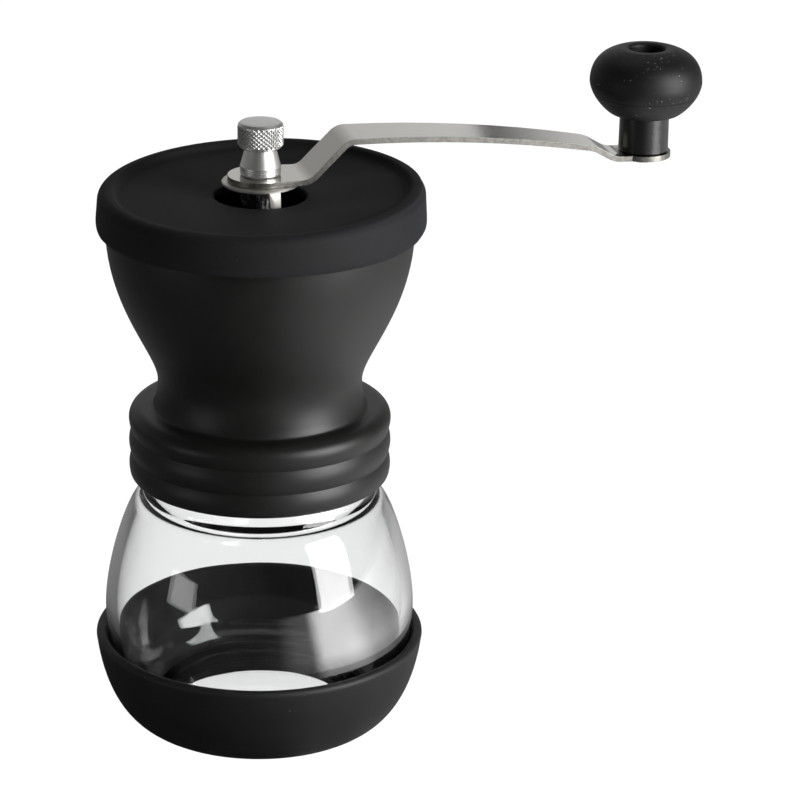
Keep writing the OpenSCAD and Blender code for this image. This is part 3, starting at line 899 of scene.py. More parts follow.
@dataclass
class GlassJar:
    """Thick glass with a pushed-up foot, a rounded mouth and one thread ridge on its neck."""

    line: JarLine
    collar: Collar
    finishes: Finishes
    thick: float = 3.2 * MM
    floor: float = 5.0 * MM
    punt: float = 2.0 * MM
    pitch: float = 5.0 * MM
    thread_h: float = 1.2 * MM
    thread_turns: float = 2.0
    thread_start: float = -47.0
    ridge_w: float = 2.0 * MM
    ridge_root: float = 1.0 * MM
    ridge_tip: float = 0.5
    fillet_down: float = 2.0 * MM
    fillet_pull: Point = (2.0 * MM, 2.4 * MM)
    fillet_up: Point = (0.6 * MM, 2.8 * MM)
    heel_h: float = 3.5 * MM
    heel_line: tuple[Point, ...] = ((9 * MM, 0.0), (3.5 * MM, 0.2 * MM), (1.2 * MM, -1.6 * MM))
    foot_line: tuple[Point, ...] = ((6 * MM, 1.5 * MM), (4 * MM, 0.9 * MM), (3 * MM, 0.0), (1.6 * MM, 0.0))
    punt_edge: Point = (8 * MM, 0.2 * MM)

    def build(self) -> None:
        """Models the glass and screws the thread ridge around its neck."""
        low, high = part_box("glass_jar")
        outside = self.line.body(low.z) + self.line.shoulder(low.z)
        throat_r = self.line.neck_r - self.thick
        floor_z = low.z + self.floor
        fillet_z = low.z + self.line.shoulder_h - self.fillet_down
        inside = [p for p in beside(outside, self.thick) if floor_z + self.heel_h < p[1] < fillet_z]
        last = inside[-1]
        pull_up, top_up = self.fillet_up
        inside += bezier(last, (last[0] - self.fillet_pull[0], last[1] + self.fillet_pull[1]),
                         (throat_r, fillet_z + pull_up), (throat_r, fillet_z + top_up), 10)[1:]
        inside += [(throat_r, high.z - self.thick / 2 - 0.2 * MM)]
        lip = self.thick / 2
        heel_r, heel_z = inside[0]
        heel = [(heel_r - inward, z + up)
                for (inward, up), z in zip(self.heel_line, (floor_z, floor_z, heel_z))]
        heel = bezier(*heel, inside[0], 8)
        foot, punt_z = self.line.foot_r, low.z + self.punt
        profile = [(0.0, punt_z), (foot - self.punt_edge[0], punt_z - self.punt_edge[1])]
        profile += bezier(*((foot - inward, low.z + up) for inward, up in self.foot_line), 5)
        profile += outside
        profile += arc((self.line.neck_r - lip, high.z - lip), lip, 0, 180, 10)
        profile += list(reversed(inside)) + list(reversed(heel))[1:]
        profile += [(0.0, floor_z + 0.3 * MM)]
        work = turned("jar_glass", profile, segments=160)
        work.cut(self.ridge(self.collar.foot), "UNION")
        work.tidy(40)
        work.finish(Body.JAR, self.finishes.glass, "clear_glass", ["glass_jar"])

    def ridge(self, start_z: float) -> Work:
        """The thread ridge, a small profile swept along a helix.

        Args:
            start_z: Height of its lower end.

        Returns:
            The ridge.
        """
        half = self.ridge_w / 2
        root = self.line.neck_r - self.ridge_root
        work = Work.added("ridge", bpy.ops.mesh.primitive_plane_add, size=self.ridge_w,
                          rotation=(math.pi / 2, 0, 0), location=(root + half, 0, start_z))
        with work.editing():
            work.pick(lambda v: v.x > self.line.neck_r)
            bpy.ops.transform.translate(value=(self.thread_h - half, 0, 0))
            bpy.ops.transform.resize(value=(1, 1, self.ridge_tip), center_override=(root, 0, start_z))
        work.modify("SCREW", angle=math.tau * self.thread_turns, screw_offset=self.pitch * self.thread_turns,
                    steps=90, render_steps=90, axis="Z", use_smooth_shade=True)
        with work.editing():
            bpy.ops.mesh.select_non_manifold()
            bpy.ops.mesh.fill()
        return work.tidy(30).turn(self.thread_start)


@dataclass
class Hopper:
    """Moulded bowl with waist, ribbed collar and burr skirt, and the bearing column on its arms."""

    collar: Collar
    finishes: Finishes
    wall: float = 2.4 * MM
    waist_r: float = 29.07 * MM
    rim_r: float = 43.43 * MM
    rim_h: float = 5.5 * MM
    bowl_pull: Point = (9.0 * MM, 24.0 * MM)
    collar_r: float = 36.65 * MM
    collar_round: float = 3.6 * MM
    foot_round: float = 1.8 * MM
    rib_h: float = 0.75 * MM
    ribs: int = 3
    skirt_r: float = 28.5 * MM
    waist_up: float = 7.8 * MM
    mouth_r: float = 17.4 * MM
    column_r: float = 7.6 * MM
    arms: int = 4
    arm_t: float = 3.0 * MM
    arm_h: float = 18 * MM
    arm_drop: float = 9 * MM
    column_bore: float = 5.1 * MM
    pocket_r: float = 6.3 * MM
    pocket_h: float = 16 * MM
    column_up: float = 5 * MM
    column_down: float = 5.4 * MM
    crease_out: float = 1.2 * MM
    crease_r: float = 1.0 * MM
    seat_t: float = 3 * MM
    mouth_edge: float = 0.3 * MM
    edge: float = 0.4 * MM

    def build(self) -> None:
        """Models the shell from one closed profile, then the column and its arms."""
        low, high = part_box("hopper")
        plate_z, collar_top, collar_z = self.collar.plate, self.collar.top, self.collar.foot
        waist_z = collar_top + self.waist_up
        bowl_z = high.z - self.rim_h
        inner_r = self.collar.inner_r
        lip = self.wall / 2
        edge, groove_r = self.edge, self.crease_r
        crease = (self.waist_r + self.crease_out, collar_top)
        bowl = bezier(crease, (crease[0] - 0.4 * MM, collar_top + 2 * MM),
                      (self.waist_r, waist_z - 3 * MM), (self.waist_r, waist_z), 8)[1:]
        bowl += bezier((self.waist_r, waist_z), (self.waist_r, waist_z + self.bowl_pull[0]),
                       (self.rim_r, bowl_z - self.bowl_pull[1]), (self.rim_r, bowl_z), 30)[1:]
        inside = [p for p in beside(bowl, self.wall) if p[1] > waist_z + 1 * MM]
        seat_z = plate_z - self.seat_t
        skirt_in = self.skirt_r - self.wall
        profile = [(inner_r, collar_z + self.mouth_edge), (inner_r + self.mouth_edge, collar_z)]
        profile += self.ribbed()
        profile += arc((crease[0] + groove_r, collar_top + groove_r), groove_r, 270, 190, 6)
        profile += [p for p in bowl if p[1] > collar_top + 1.2 * MM]
        profile += arc((self.rim_r - lip, high.z - lip), lip, 0, 180, 8)
        profile += list(reversed(inside))
        profile += [(self.waist_r - self.wall, waist_z - 1 * MM), (self.mouth_r, plate_z + 1 * MM)]
        profile += [(self.mouth_r, seat_z), (skirt_in, seat_z), (skirt_in, low.z + edge)]
        profile += [(skirt_in + edge, low.z), (self.skirt_r - edge, low.z)]
        profile += [(self.skirt_r, low.z + edge), (self.skirt_r, plate_z), (inner_r, plate_z)]
        shell = turned("hopper_shell", profile, ring=True)
        shell.finish(Body.HOPPER, self.finishes.hopper, "hopper_plastic", ["hopper"])
        self.column(collar_top + self.column_up, high.z - self.column_down)

    def ribbed(self) -> list[Point]:
        """The collar's outer line: a rounded foot, soft ribs and a rounded top.

        Returns:
            The points of the line, upwards.
        """
        foot, pitch = self.collar.foot, self.collar.height / self.ribs

        def bulge(z: float) -> float:
            """Radius of the ribs at a height."""
            return self.collar_r + self.rib_h * abs(math.sin(math.pi * (z - foot) / pitch)) ** 0.9

        low, high = foot + self.foot_round, self.collar.top - self.collar_round
        steps = 14 * self.ribs
        heights = [low + (high - low) * i / steps for i in range(1, steps)]
        line = arc((bulge(low) - self.foot_round, low), self.foot_round, 270, 360, 6)
        line += [(bulge(z), z) for z in heights]
        return line + arc((bulge(high) - self.collar_round, high), self.collar_round, 0, 90, 10)

    def column(self, foot_z: float, top_z: float) -> None:
        """The tube that carries the bushes, on arms that reach into the waist.

        Args:
            foot_z: Height of its foot.
            top_z: Height of its top.
        """
        step_z = foot_z + self.pocket_h
        tube = turned("hopper_column", [
            (self.pocket_r, foot_z), (self.column_r, foot_z), (self.column_r, top_z - self.edge),
            (self.column_r - self.edge, top_z), (self.column_bore, top_z), (self.column_bore, step_z),
            (self.pocket_r, step_z)], ring=True, segments=72)
        tube.finish(Body.HOPPER, self.finishes.hopper, "hopper_plastic", ["bearing_column"])
        for i in range(self.arms):
            arm = block(f"hopper_arm_{i + 1}", (self.column_r - 0.8 * MM, -self.arm_t / 2, foot_z),
                        (self.waist_r - self.wall / 2, self.arm_t / 2, foot_z + self.arm_h))
            with arm.editing():
                arm.pick(lambda v: v.x > self.waist_r / 2 and v.z > foot_z + self.arm_drop)
                bpy.ops.transform.translate(value=(0, 0, -self.arm_drop))
            arm.modify("BEVEL", width=self.edge, segments=2)
            arm.turn(360 / self.arms * (i + 0.5)).tidy()
            arm.finish(Body.HOPPER, self.finishes.hopper, "hopper_plastic")


@dataclass
class Lid:
    """Soft lid: a shallow dish with a rolled crest, a flared skirt and a central hole."""

    finishes: Finishes
    outer_r: float = 46.1 * MM
    crest_in_r: float = 41.2 * MM
    dip: float = 1.9 * MM
    thick: float = 2.5 * MM
    hole_r: float = 13.0 * MM
    roll: float = 2.8 * MM
    lift: float = 0.9 * MM
    lean: Point = (1.3 * MM, 0.93 * MM)
    offset: float = 0.6 * MM
    bulge: float = 0.9 * MM
    bulge_way: float = -14.5
    tuck: float = 1.9
    give_from: Point = (16 * MM, 41 * MM)
    inner_r: float = 43.73 * MM
    edge: float = 0.5 * MM
    hole_round: float = 0.7 * MM
    skirt_line: tuple[Point, ...] = (
        (0.55 * MM, 0.12 * MM), (0.2 * MM, 0.8 * MM), (0.0, 2.2 * MM), (0.0, 4 * MM))

    def sit(self, v: Vector, low: Vector, high: Vector) -> Vector:
        """How the soft lid gives: its crest stands higher towards the back right, where the skirt bulges.

        Args:
            v: Place of a vertex.
            low: Lowest corner of the lid.
            high: Highest corner of the lid.

        Returns:
            Its move.
        """
        radius = math.hypot(v.x, v.y)
        share = ease(radius, *self.give_from) * ease(v.z, low.z + 0.5 * MM, high.z - 2 * MM)
        rise = self.lift + (self.lean[0] * v.x + self.lean[1] * v.y) / self.outer_r
        height = (v.z - low.z) / (high.z - low.z)
        way = Vector((v.x, v.y, 0)) / max(radius, TINY)
        aim = math.radians(self.bulge_way)
        facing = max(0.0, way.x * math.cos(aim) + way.y * math.sin(aim)) ** 3
        outer = ease(radius, self.outer_r - 1.6 * MM, self.outer_r - 0.4 * MM)
        push = self.bulge * facing * outer * (1.0 - self.tuck * height) * ease(height, 0.0, 0.2)
        return Vector((self.offset * share, 0, rise * share)) + way * push

    def build(self) -> None:
        """Models the lid from one closed profile and lets it sit on the hopper."""
        low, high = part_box("lid")
        dish_z = high.z - self.dip
        under_z = dish_z - self.thick
        inner_r, edge, crest_r = self.inner_r, self.edge, self.crest_in_r
        crest = (self.outer_r - self.roll, high.z - self.roll)
        profile = [(inner_r + edge, low.z), (self.outer_r - 0.9 * MM, low.z)]
        profile += bezier(*((self.outer_r - inward, low.z + up) for inward, up in self.skirt_line), 6)
        profile += arc(crest, self.roll, 0, 90, 12)
        profile += bezier((crest_r + 1.1 * MM, high.z), (crest_r + 0.1 * MM, high.z - 0.1 * MM),
                          (crest_r + 0.3 * MM, dish_z), (crest_r - 1.6 * MM, dish_z), 8)
        profile += [(radius * MM, dish_z) for radius in range(38, 14, -2)]
        mouth = (self.hole_r + self.hole_round, dish_z - self.hole_round)
        profile += arc(mouth, self.hole_round, 90, 180, 6)
        profile += arc((self.hole_r + edge, under_z + edge), edge, 180, 270, 4)
        profile += [(inner_r - edge, under_z), (inner_r, under_z - edge), (inner_r, low.z + edge)]
        work = turned("lid_rubber", profile, ring=True).warp(lambda v: self.sit(v, low, high))
        work.finish(Body.LID, self.finishes.lid, "lid_rubber", ["lid"])


@dataclass
class LockRing:
    """Steel washer with a keyed hole and one tab bent down from its edge."""

    finishes: Finishes
    outer_r: float = 10.85 * MM
    hole_r: float = 3.6 * MM
    flat: float = 2.8 * MM
    tab_w: float = 3.6 * MM
    tab_t: float = 0.8 * MM
    tab_angle: float = -80.0
    splay: float = 1.1 * MM
    thick: float = 1.0 * MM
    edge: float = 0.25 * MM
    tab_in: float = 1.0 * MM
    tab_edge: float = 0.22 * MM
    tab_taper: float = 0.86

    def build(self) -> None:
        """Models the washer, its keyed hole and the tab."""
        low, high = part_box("lock_ring")
        under, edge = high.z - self.thick, self.edge
        washer = turned("lock_ring_steel", [
            (0.0, under), (self.outer_r - edge, under), (self.outer_r, under + edge),
            (self.outer_r, high.z - edge), (self.outer_r - edge, high.z), (0.0, high.z)])
        washer.cut(keyed_rod(self.hole_r, self.flat, under - MM, high.z + MM))
        tab_r = self.outer_r - self.tab_in
        tab = block("tab", (tab_r, -self.tab_w / 2, low.z),
                    (tab_r + self.tab_t, self.tab_w / 2, high.z - 0.3 * MM))
        tab.modify("BEVEL", width=self.tab_edge, segments=2)
        with tab.editing():
            tab.pick(lambda v: v.z < low.z + MM)
            bpy.ops.transform.resize(value=(1, self.tab_taper, 1), center_override=(self.outer_r, 0, low.z))
            bpy.ops.transform.translate(value=(self.splay, 0, 0))
        washer.cut(tab.turn(self.tab_angle), "UNION")
        washer.tidy(30)
        washer.finish(Body.LOCK, self.finishes.ring, "brushed_steel", ["lock_ring"])


def keyed_rod(radius: float, flat: float, low: float, high: float) -> Work:
    """A rod with two flats, as the tool for a keyed hole.

    Args:
        radius: Radius of the rod.
        flat: Distance from the axis to each flat.
        low: Height of its lower end.
        high: Height of its upper end.

    Returns:
        The tool.
    """
    tool = rod("key", radius, low, high)
    flats = block("flats", (-flat, -2 * radius, low - MM), (flat, 2 * radius, high + MM))
    return tool.cut(flats, "INTERSECT")


@dataclass
class AdjusterNut:
    """Glossy fluted nut under the lock ring, its black lightened as painted sheen."""

    finishes: Finishes
    radius: float = 5.5 * MM
    bore: float = 3.56 * MM
    flutes: int = 12
    flute_r: float = 0.7 * MM
    flute_out: float = 0.35 * MM
    flute_stop: float = 2 * MM
    edge: float = 0.4 * MM

    def build(self) -> None:
        """Models the nut and mills its flutes."""
        low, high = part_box("adjuster_nut")
        edge = self.edge
        nut = turned("adjuster_nut_black", [
            (self.bore, low.z), (self.radius - edge, low.z), (self.radius, low.z + edge),
            (self.radius, high.z - edge), (self.radius - edge, high.z), (self.bore, high.z)],
            ring=True, segments=96)
        flute = rod("flutes", self.flute_r, low.z - MM, high.z - self.flute_stop,
                    x=self.radius + self.flute_out, vertices=16)
        with flute.editing():
            bpy.ops.mesh.select_all(action="SELECT")
            bpy.ops.mesh.spin(steps=self.flutes, dupli=True, angle=math.tau, center=(0, 0, 0),
                              axis=(0, 0, 1))
        flute.tidy()
        nut.cut(flute)
        nut.tidy(30)
        nut.finish(Body.ADJUSTER, self.finishes.specked_painted_sheen, "gloss_black", ["adjuster_nut"])


@dataclass
class CrankArm:
    """Bent steel strip: a flat hub end, a step up, a long arch and a drop to the knob's pad."""

    finishes: Finishes
    thick: float = 1.6 * MM
    hub_r: float = 9.2 * MM
    pad_r: float = 7.85 * MM
    wide: float = 16.0 * MM
    narrow: float = 12.0 * MM
    rise: float = 10.95 * MM
    bend_r: float = 5.0 * MM
    fall: float = 10.0
    drop: float = 3.85 * MM
    drop_bend: float = 8.0 * MM
    drop_slope: float = 30.0
    step_slope: float = 45.0
    hub_neck: float = 1.3 * MM
    taper_from: float = 26 * MM
    key_r: float = 3.6 * MM
    key_flat: float = 2.8 * MM
    post_r: float = 3.06 * MM
    edge_round: float = 0.28 * MM
    edge_turn: float = 0.3

    def middle_line(self, hub_z: float, knob_x: float) -> list[Point]:
        """The middle line of the strip, from the hub's centre to the edge of the pad.

        Args:
            hub_z: Height of the line at the hub.
            knob_x: Where the knob stands.

        Returns:
            The points of the line.
        """
        step = math.radians(self.step_slope)
        straight = (self.rise - 2 * self.bend_r * (1 - math.cos(step))) / math.sin(step)
        slope, fall = math.radians(self.drop_slope), math.radians(self.fall)
        bends = self.drop_bend * (math.cos(fall) + 1 - 2 * math.cos(slope))
        last = (self.drop - bends) / math.sin(slope)
        first = self.hub_r + self.hub_neck
        rise_end = first + 2 * self.bend_r * math.sin(step) + straight * math.cos(step)
        drop_l = MM * math.cos(fall) + self.drop_bend * (2 * math.sin(slope) - math.sin(fall))
        span = knob_x - self.pad_r - rise_end - drop_l - last * math.cos(slope)
        moves = [(first, self.step_slope, self.bend_r), (straight, -self.step_slope, self.bend_r),
                 (0, -self.fall, span / math.sin(fall)), (MM, self.fall - self.drop_slope, self.drop_bend),
                 (last, self.drop_slope, self.drop_bend)]
        return bent_path((0.0, hub_z), moves)

    def build(self) -> None:
        """Bends a wide sheet along the middle line and trims it to the strip's outline."""
        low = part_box("crank_arm")[0]
        knob_x = (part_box("knob_head")[0].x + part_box("knob_head")[1].x) / 2
        line = self.middle_line(low.z + self.thick / 2, knob_x)
        stations = [(-self.hub_r - MM, line[0][1])] + line + [(knob_x + self.pad_r + MM, line[-1][1])]
        count = len(stations)
        sheet = Work.added("crank_arm_steel", bpy.ops.mesh.primitive_grid_add, x_subdivisions=count - 1,
                           y_subdivisions=2, size=1)
        with sheet.editing():
            for i, (x, z) in enumerate(stations):
                start = i / (count - 1) - 0.5
                sheet.pick(lambda v, s=start: abs(v.x - s) < 0.25 / count and abs(v.z) < TINY)
                bpy.ops.transform.translate(value=(x - start + 1.0, 0, z))
            bpy.ops.mesh.select_all(action="SELECT")
            bpy.ops.transform.translate(value=(-1.0, 0, 0))
            bpy.ops.transform.resize(value=(1, 2.4 * self.hub_r, 1), center_override=(0, 0, 0))
        sheet.modify("SOLIDIFY", thickness=self.thick, offset=0.0, use_even_offset=True)
        sheet.cut(self.outline(knob_x, low.z), "INTERSECT")
        sheet.cut(keyed_rod(self.key_r, self.key_flat, low.z - MM, low.z + 3 * MM))
        sheet.cut(rod("post_hole", self.post_r, low.z - 5 * MM, low.z + 10 * MM, x=knob_x))
        sheet.tidy(25)
        sheet.modify("BEVEL", width=self.edge_round, segments=3, limit_method="ANGLE",
                     angle_limit=math.radians(50), harden_normals=False)
        sheet.activate()
        bpy.ops.object.shade_smooth_by_angle(angle=math.radians(40))
        sheet.finish(Body.CRANK, self.finishes.strip, "brushed_steel", ["crank_arm"])
        self.dress_edges(sheet)

    def dress_edges(self, strip: Work) -> None:
        """Gives the strip's sheared edges their own finish: rougher, as sheared steel is, and darker as
        painted shade.

        Args:
            strip: The finished strip.
        """
        strip.obj.data.materials.append(self.finishes.sheared_shaded)
        for face in strip.obj.data.polygons:
            if abs(face.normal.y) > self.edge_turn or abs(face.normal.z) < self.edge_turn:
                face.material_index = 1

    def outline(self, knob_x: float, hub_z: float) -> Work:
        """A tall solid with the strip's outline seen from above.

        Args:
            knob_x: Where the knob stands.
            hub_z: Height of the hub's underside.

        Returns:
            The solid.
        """
        low, high = hub_z - 10 * MM, hub_z + 30 * MM
        hub = rod("hub", self.hub_r, low, high, vertices=128)
        bar = block("bar", (0, -self.wide / 2, low), (knob_x, self.wide / 2, high))
        blend_x = knob_x - self.pad_r * 0.9
        with bar.editing():
            for cut_x in (self.hub_r + self.hub_neck, self.taper_from, blend_x):
                bpy.ops.mesh.select_all(action="SELECT")
                bpy.ops.mesh.bisect(plane_co=(cut_x, 0, 0), plane_no=(1, 0, 0))
            bar.pick(lambda v: v.x > blend_x - TINY * 100)
            bpy.ops.transform.resize(value=(1, self.narrow / self.wide, 1), center_override=(0, 0, 0))
            bar.pick(lambda v: v.x < TINY)
            bpy.ops.transform.resize(value=(1, 2 * self.hub_r / self.wide, 1), center_override=(0, 0, 0))
        pad = rod("pad", self.pad_r, low, high, x=knob_x, vertices=128)
        return hub.cut(bar, "UNION").cut(pad, "UNION")


@dataclass
class KnurledNut:
    """Turned aluminium finger nut: a diamond-knurled head on a waisted body with fine grooves."""

    finishes: Finishes
    head_r: float = 6.5 * MM
    body_h: float = 7.9 * MM
    foot_r: float = 5.75 * MM
    foot_h: float = 2.8 * MM
    neck_r: float = 4.3 * MM
    bore: float = 2.66 * MM
    chamfer: float = 0.8 * MM
    knurl_depth: float = 0.42 * MM
    teeth: int = 30
    rows: int = 10
    grooves: int = 3
    groove_up: float = 0.75 * MM
    groove_pitch: float = 0.62 * MM
    groove_depth: float = 0.14 * MM
    bore_top: float = 3.2 * MM

    def build(self) -> None:
        """Turns the nut and presses the knurl into its head."""
        low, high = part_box("knurled_nut")
        neck_z = low.z + self.body_h
        knurl_low, knurl_high = neck_z + 0.55 * self.chamfer, high.z - self.chamfer
        floor_r, top_r = self.head_r - self.knurl_depth, self.head_r - self.chamfer
        bore_z, foot_r, neck_r = high.z - self.bore_top, self.foot_r, self.neck_r
        profile = [(0.0, bore_z), (self.bore, bore_z), (self.bore, low.z), (foot_r - 0.25 * MM, low.z)]
        for i in range(self.grooves):
            groove_z = low.z + self.groove_up + self.groove_pitch * i
            profile += [(foot_r, groove_z - 0.22 * MM), (foot_r, groove_z),
                        (foot_r - self.groove_depth, groove_z + 0.1 * MM), (foot_r, groove_z + 0.2 * MM)]
        profile += [(foot_r, low.z + self.foot_h - 0.2 * MM), (foot_r - 0.12 * MM, low.z + self.foot_h)]
        profile += [(neck_r + 0.1 * MM, neck_z - 0.5 * MM), (neck_r, neck_z - 0.25 * MM), (neck_r, neck_z)]
        profile += [(top_r, neck_z), (floor_r, knurl_low - 0.01 * MM)]
        step = (knurl_high - knurl_low) / self.rows
        profile += [(self.head_r, knurl_low + step * i) for i in range(self.rows + 1)]
        profile += [(self.head_r - 0.2 * MM, knurl_high + 0.12 * MM), (top_r, high.z - 0.06 * MM),
                    (top_r - 0.3 * MM, high.z), (3.0 * MM, high.z - 0.02 * MM), (0.0, high.z - 0.03 * MM)]
        nut = turned("knurled_nut_body", profile, segments=2 * self.teeth)
        self.press(nut, knurl_low, step)
        nut.finish(Body.NUT, self.finishes.turned, "turned_aluminium", ["knurled_nut"])

    def press(self, nut: Work, low: float, step: float) -> None:
        """Presses crossing grooves into the head, so that diamond points stand between them.

        Args:
            nut: The turned nut.
            low: Height of the knurl's lowest row.
            step: Height from one row to the next.
        """
        pitch = math.pi / self.teeth
        high = low + step * self.rows

        def pressed(v: Vector) -> bool:
            """Says whether grooves cross at a vertex.

            Args:
                v: The vertex.

            Returns:
                True where it is pressed in.
            """
            if math.hypot(v.x, v.y) < self.head_r - 0.01 * MM or not low - TINY < v.z - TINY < high:
                return False
            row = round((v.z - low) / step)
            column = round(math.atan2(v.y, v.x) / pitch)
            return (row + column) % 2 == 0 or row in (0, self.rows)

        with nut.editing():
            nut.pick(pressed)
            scale = 1 - self.knurl_depth / self.head_r
            bpy.ops.transform.resize(value=(scale, scale, 1), center_override=(0, 0, low))
            nut.pick(lambda v: math.hypot(v.x, v.y) > self.head_r - self.knurl_depth - 0.02 * MM
                     and low - 0.02 * MM < v.z < high + 0.02 * MM)
            bpy.ops.mesh.quads_convert_to_tris(quad_method="SHORTEST_DIAGONAL")
        nut.tidy(24)


@dataclass
class Knob:
    """Rubbery mushroom head on a glossy stem, which turn together on a steel post."""

    finishes: Finishes
    head_r: float = 16.0 * MM
    low_h: float = 9.1 * MM
    under_r: float = 9.6 * MM
    crown_r: float = 7.6 * MM
    hole_r: float = 5.0 * MM
    lip: float = 1.1 * MM
    sleeve_r: float = 5.4 * MM
    seam_drop: float = 3.4 * MM
    seam_w: float = 0.1 * MM
    seam_depth: float = 0.12 * MM
    stem_r: float = 7.15 * MM
    stem_edge: float = 0.35 * MM
    bore: float = 3.06 * MM

    def build(self) -> None:
        """Models the head and the stem about the post's axis."""
        low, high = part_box("knob_head")
        x = (low.x + high.x) / 2
        widest = low.z + self.low_h
        sleeve_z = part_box("knob_stem")[1].z
        lower = bezier((self.under_r, low.z), (self.under_r + 1.2 * MM, low.z + 0.4 * MM),
                       (self.head_r - 0.4 * MM, widest - 4.6 * MM), (self.head_r, widest), 24)
        upper = bezier((self.head_r, widest), (self.head_r, widest + 4.8 * MM),
                       (self.head_r - 2.4 * MM, high.z - 1.3 * MM), (self.crown_r, high.z), 22)[1:]
        seam = min(range(len(lower)), key=lambda i: abs(lower[i][1] - widest + self.seam_drop))
        r, z = lower[seam]
        lower[seam:seam + 1] = [(r - 0.03 * MM, z - self.seam_w), (r - self.seam_depth, z),
                                (r + 0.03 * MM, z + self.seam_w)]
        profile = [(self.sleeve_r, sleeve_z + 0.1 * MM), (self.sleeve_r, low.z)]
        profile += [(self.stem_r + 0.3 * MM, low.z)] + lower + upper
        profile += arc((self.hole_r + self.lip, high.z - self.lip), self.lip, 90, 180, 8)
        profile += [(self.hole_r, sleeve_z + 0.1 * MM)]
        head = turned("knob_head_rubber", profile, x=x, ring=True)
        head.finish(Body.KNOB, self.finishes.knob, "knob_rubber", ["knob_head"])
        self.stem(x, low.z, sleeve_z)

    def stem(self, x: float, head_z: float, sleeve_z: float) -> None:
        """The stem, slightly narrower at its top, and its sleeve inside the head.

        Args:
            x: Where the post stands.
            head_z: Height of the head's underside.
            sleeve_z: Height of the sleeve's top.
        """
        foot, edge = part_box("knob_stem")[0].z, self.stem_edge
        inner = self.sleeve_r - 0.1 * MM
        profile = [(self.bore, foot), (self.stem_r - edge, foot), (self.stem_r, foot + edge)]
        profile += [(self.stem_r - 0.05 * MM, foot + 2 * MM), (self.stem_r - 0.12 * MM, head_z - 0.4 * MM)]
        profile += [(self.stem_r - 0.4 * MM, head_z - 0.1 * MM), (inner, head_z - 0.1 * MM)]
        profile += [(inner, sleeve_z - edge), (inner - edge, sleeve_z), (self.bore, sleeve_z)]
        stem = turned("knob_stem_black", profile, x=x, ring=True, segments=96)
        stem.finish(Body.KNOB, self.finishes.gloss, "gloss_black", ["knob_stem"])


@dataclass
class Inside:
    """The frame's own solids that stay, each with its finish, and the spring."""

    finishes: Finishes
    travel: float = 1.2 * MM

    def build(self) -> None:
        """Puts the finishes on the nodes, and makes the spring."""
        dress = {
            self.finishes.steel: ("drive_shaft", "carrier_screws", "thrust_washer", "drive_plate", "burr_nut",
                                  "spring_washer_upper", "spring_washer_lower", "knob_post", "knob_washer"),
            self.finishes.acetal: ("upper_bush", "lower_bush"),
            self.finishes.ceramic: ("outer_burr", "inner_burr"),
            self.finishes.hopper: ("burr_carrier",),
        }
        for material, names in dress.items():
            for name in names:
                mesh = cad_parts[name].data
                mesh.materials.clear()
                mesh.materials.append(material)
                log.info("%s: finish %s", name, material.name)
        self.spring()

    def spring(self) -> None:
        """The spring, a copy of the frame's node that rides on the shaft."""
        wire = Work.like(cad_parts["spring"], "spring_wire").tidy()
        wire.finish(Body.SHAFT, self.finishes.wire, "spring_steel", ["spring"])
        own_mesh(wire.obj)


# ---------------------------------------------------------------------------------------------------------
# The studio
# ---------------------------------------------------------------------------------------------------------


@dataclass
class Softbox:
    """A rectangular lamp that looks at the grinder."""

    name: str
    place: tuple[float, float, float]
    size: Point
    power: float
    target: tuple[float, float, float] = (0.0, 0.0, 0.09)

    def build(self) -> None:
        """Adds the lamp."""
        bpy.ops.object.light_add(type="AREA", location=self.place)
        lamp = bpy.context.object
        lamp.name = self.name
        lamp.data.shape = "RECTANGLE"
        lamp.data.size, lamp.data.size_y = self.size
        lamp.data.energy = self.power
        aim = Vector(self.target) - Vector(self.place)
        lamp.rotation_euler = aim.to_track_quat("-Z", "Y").to_euler()


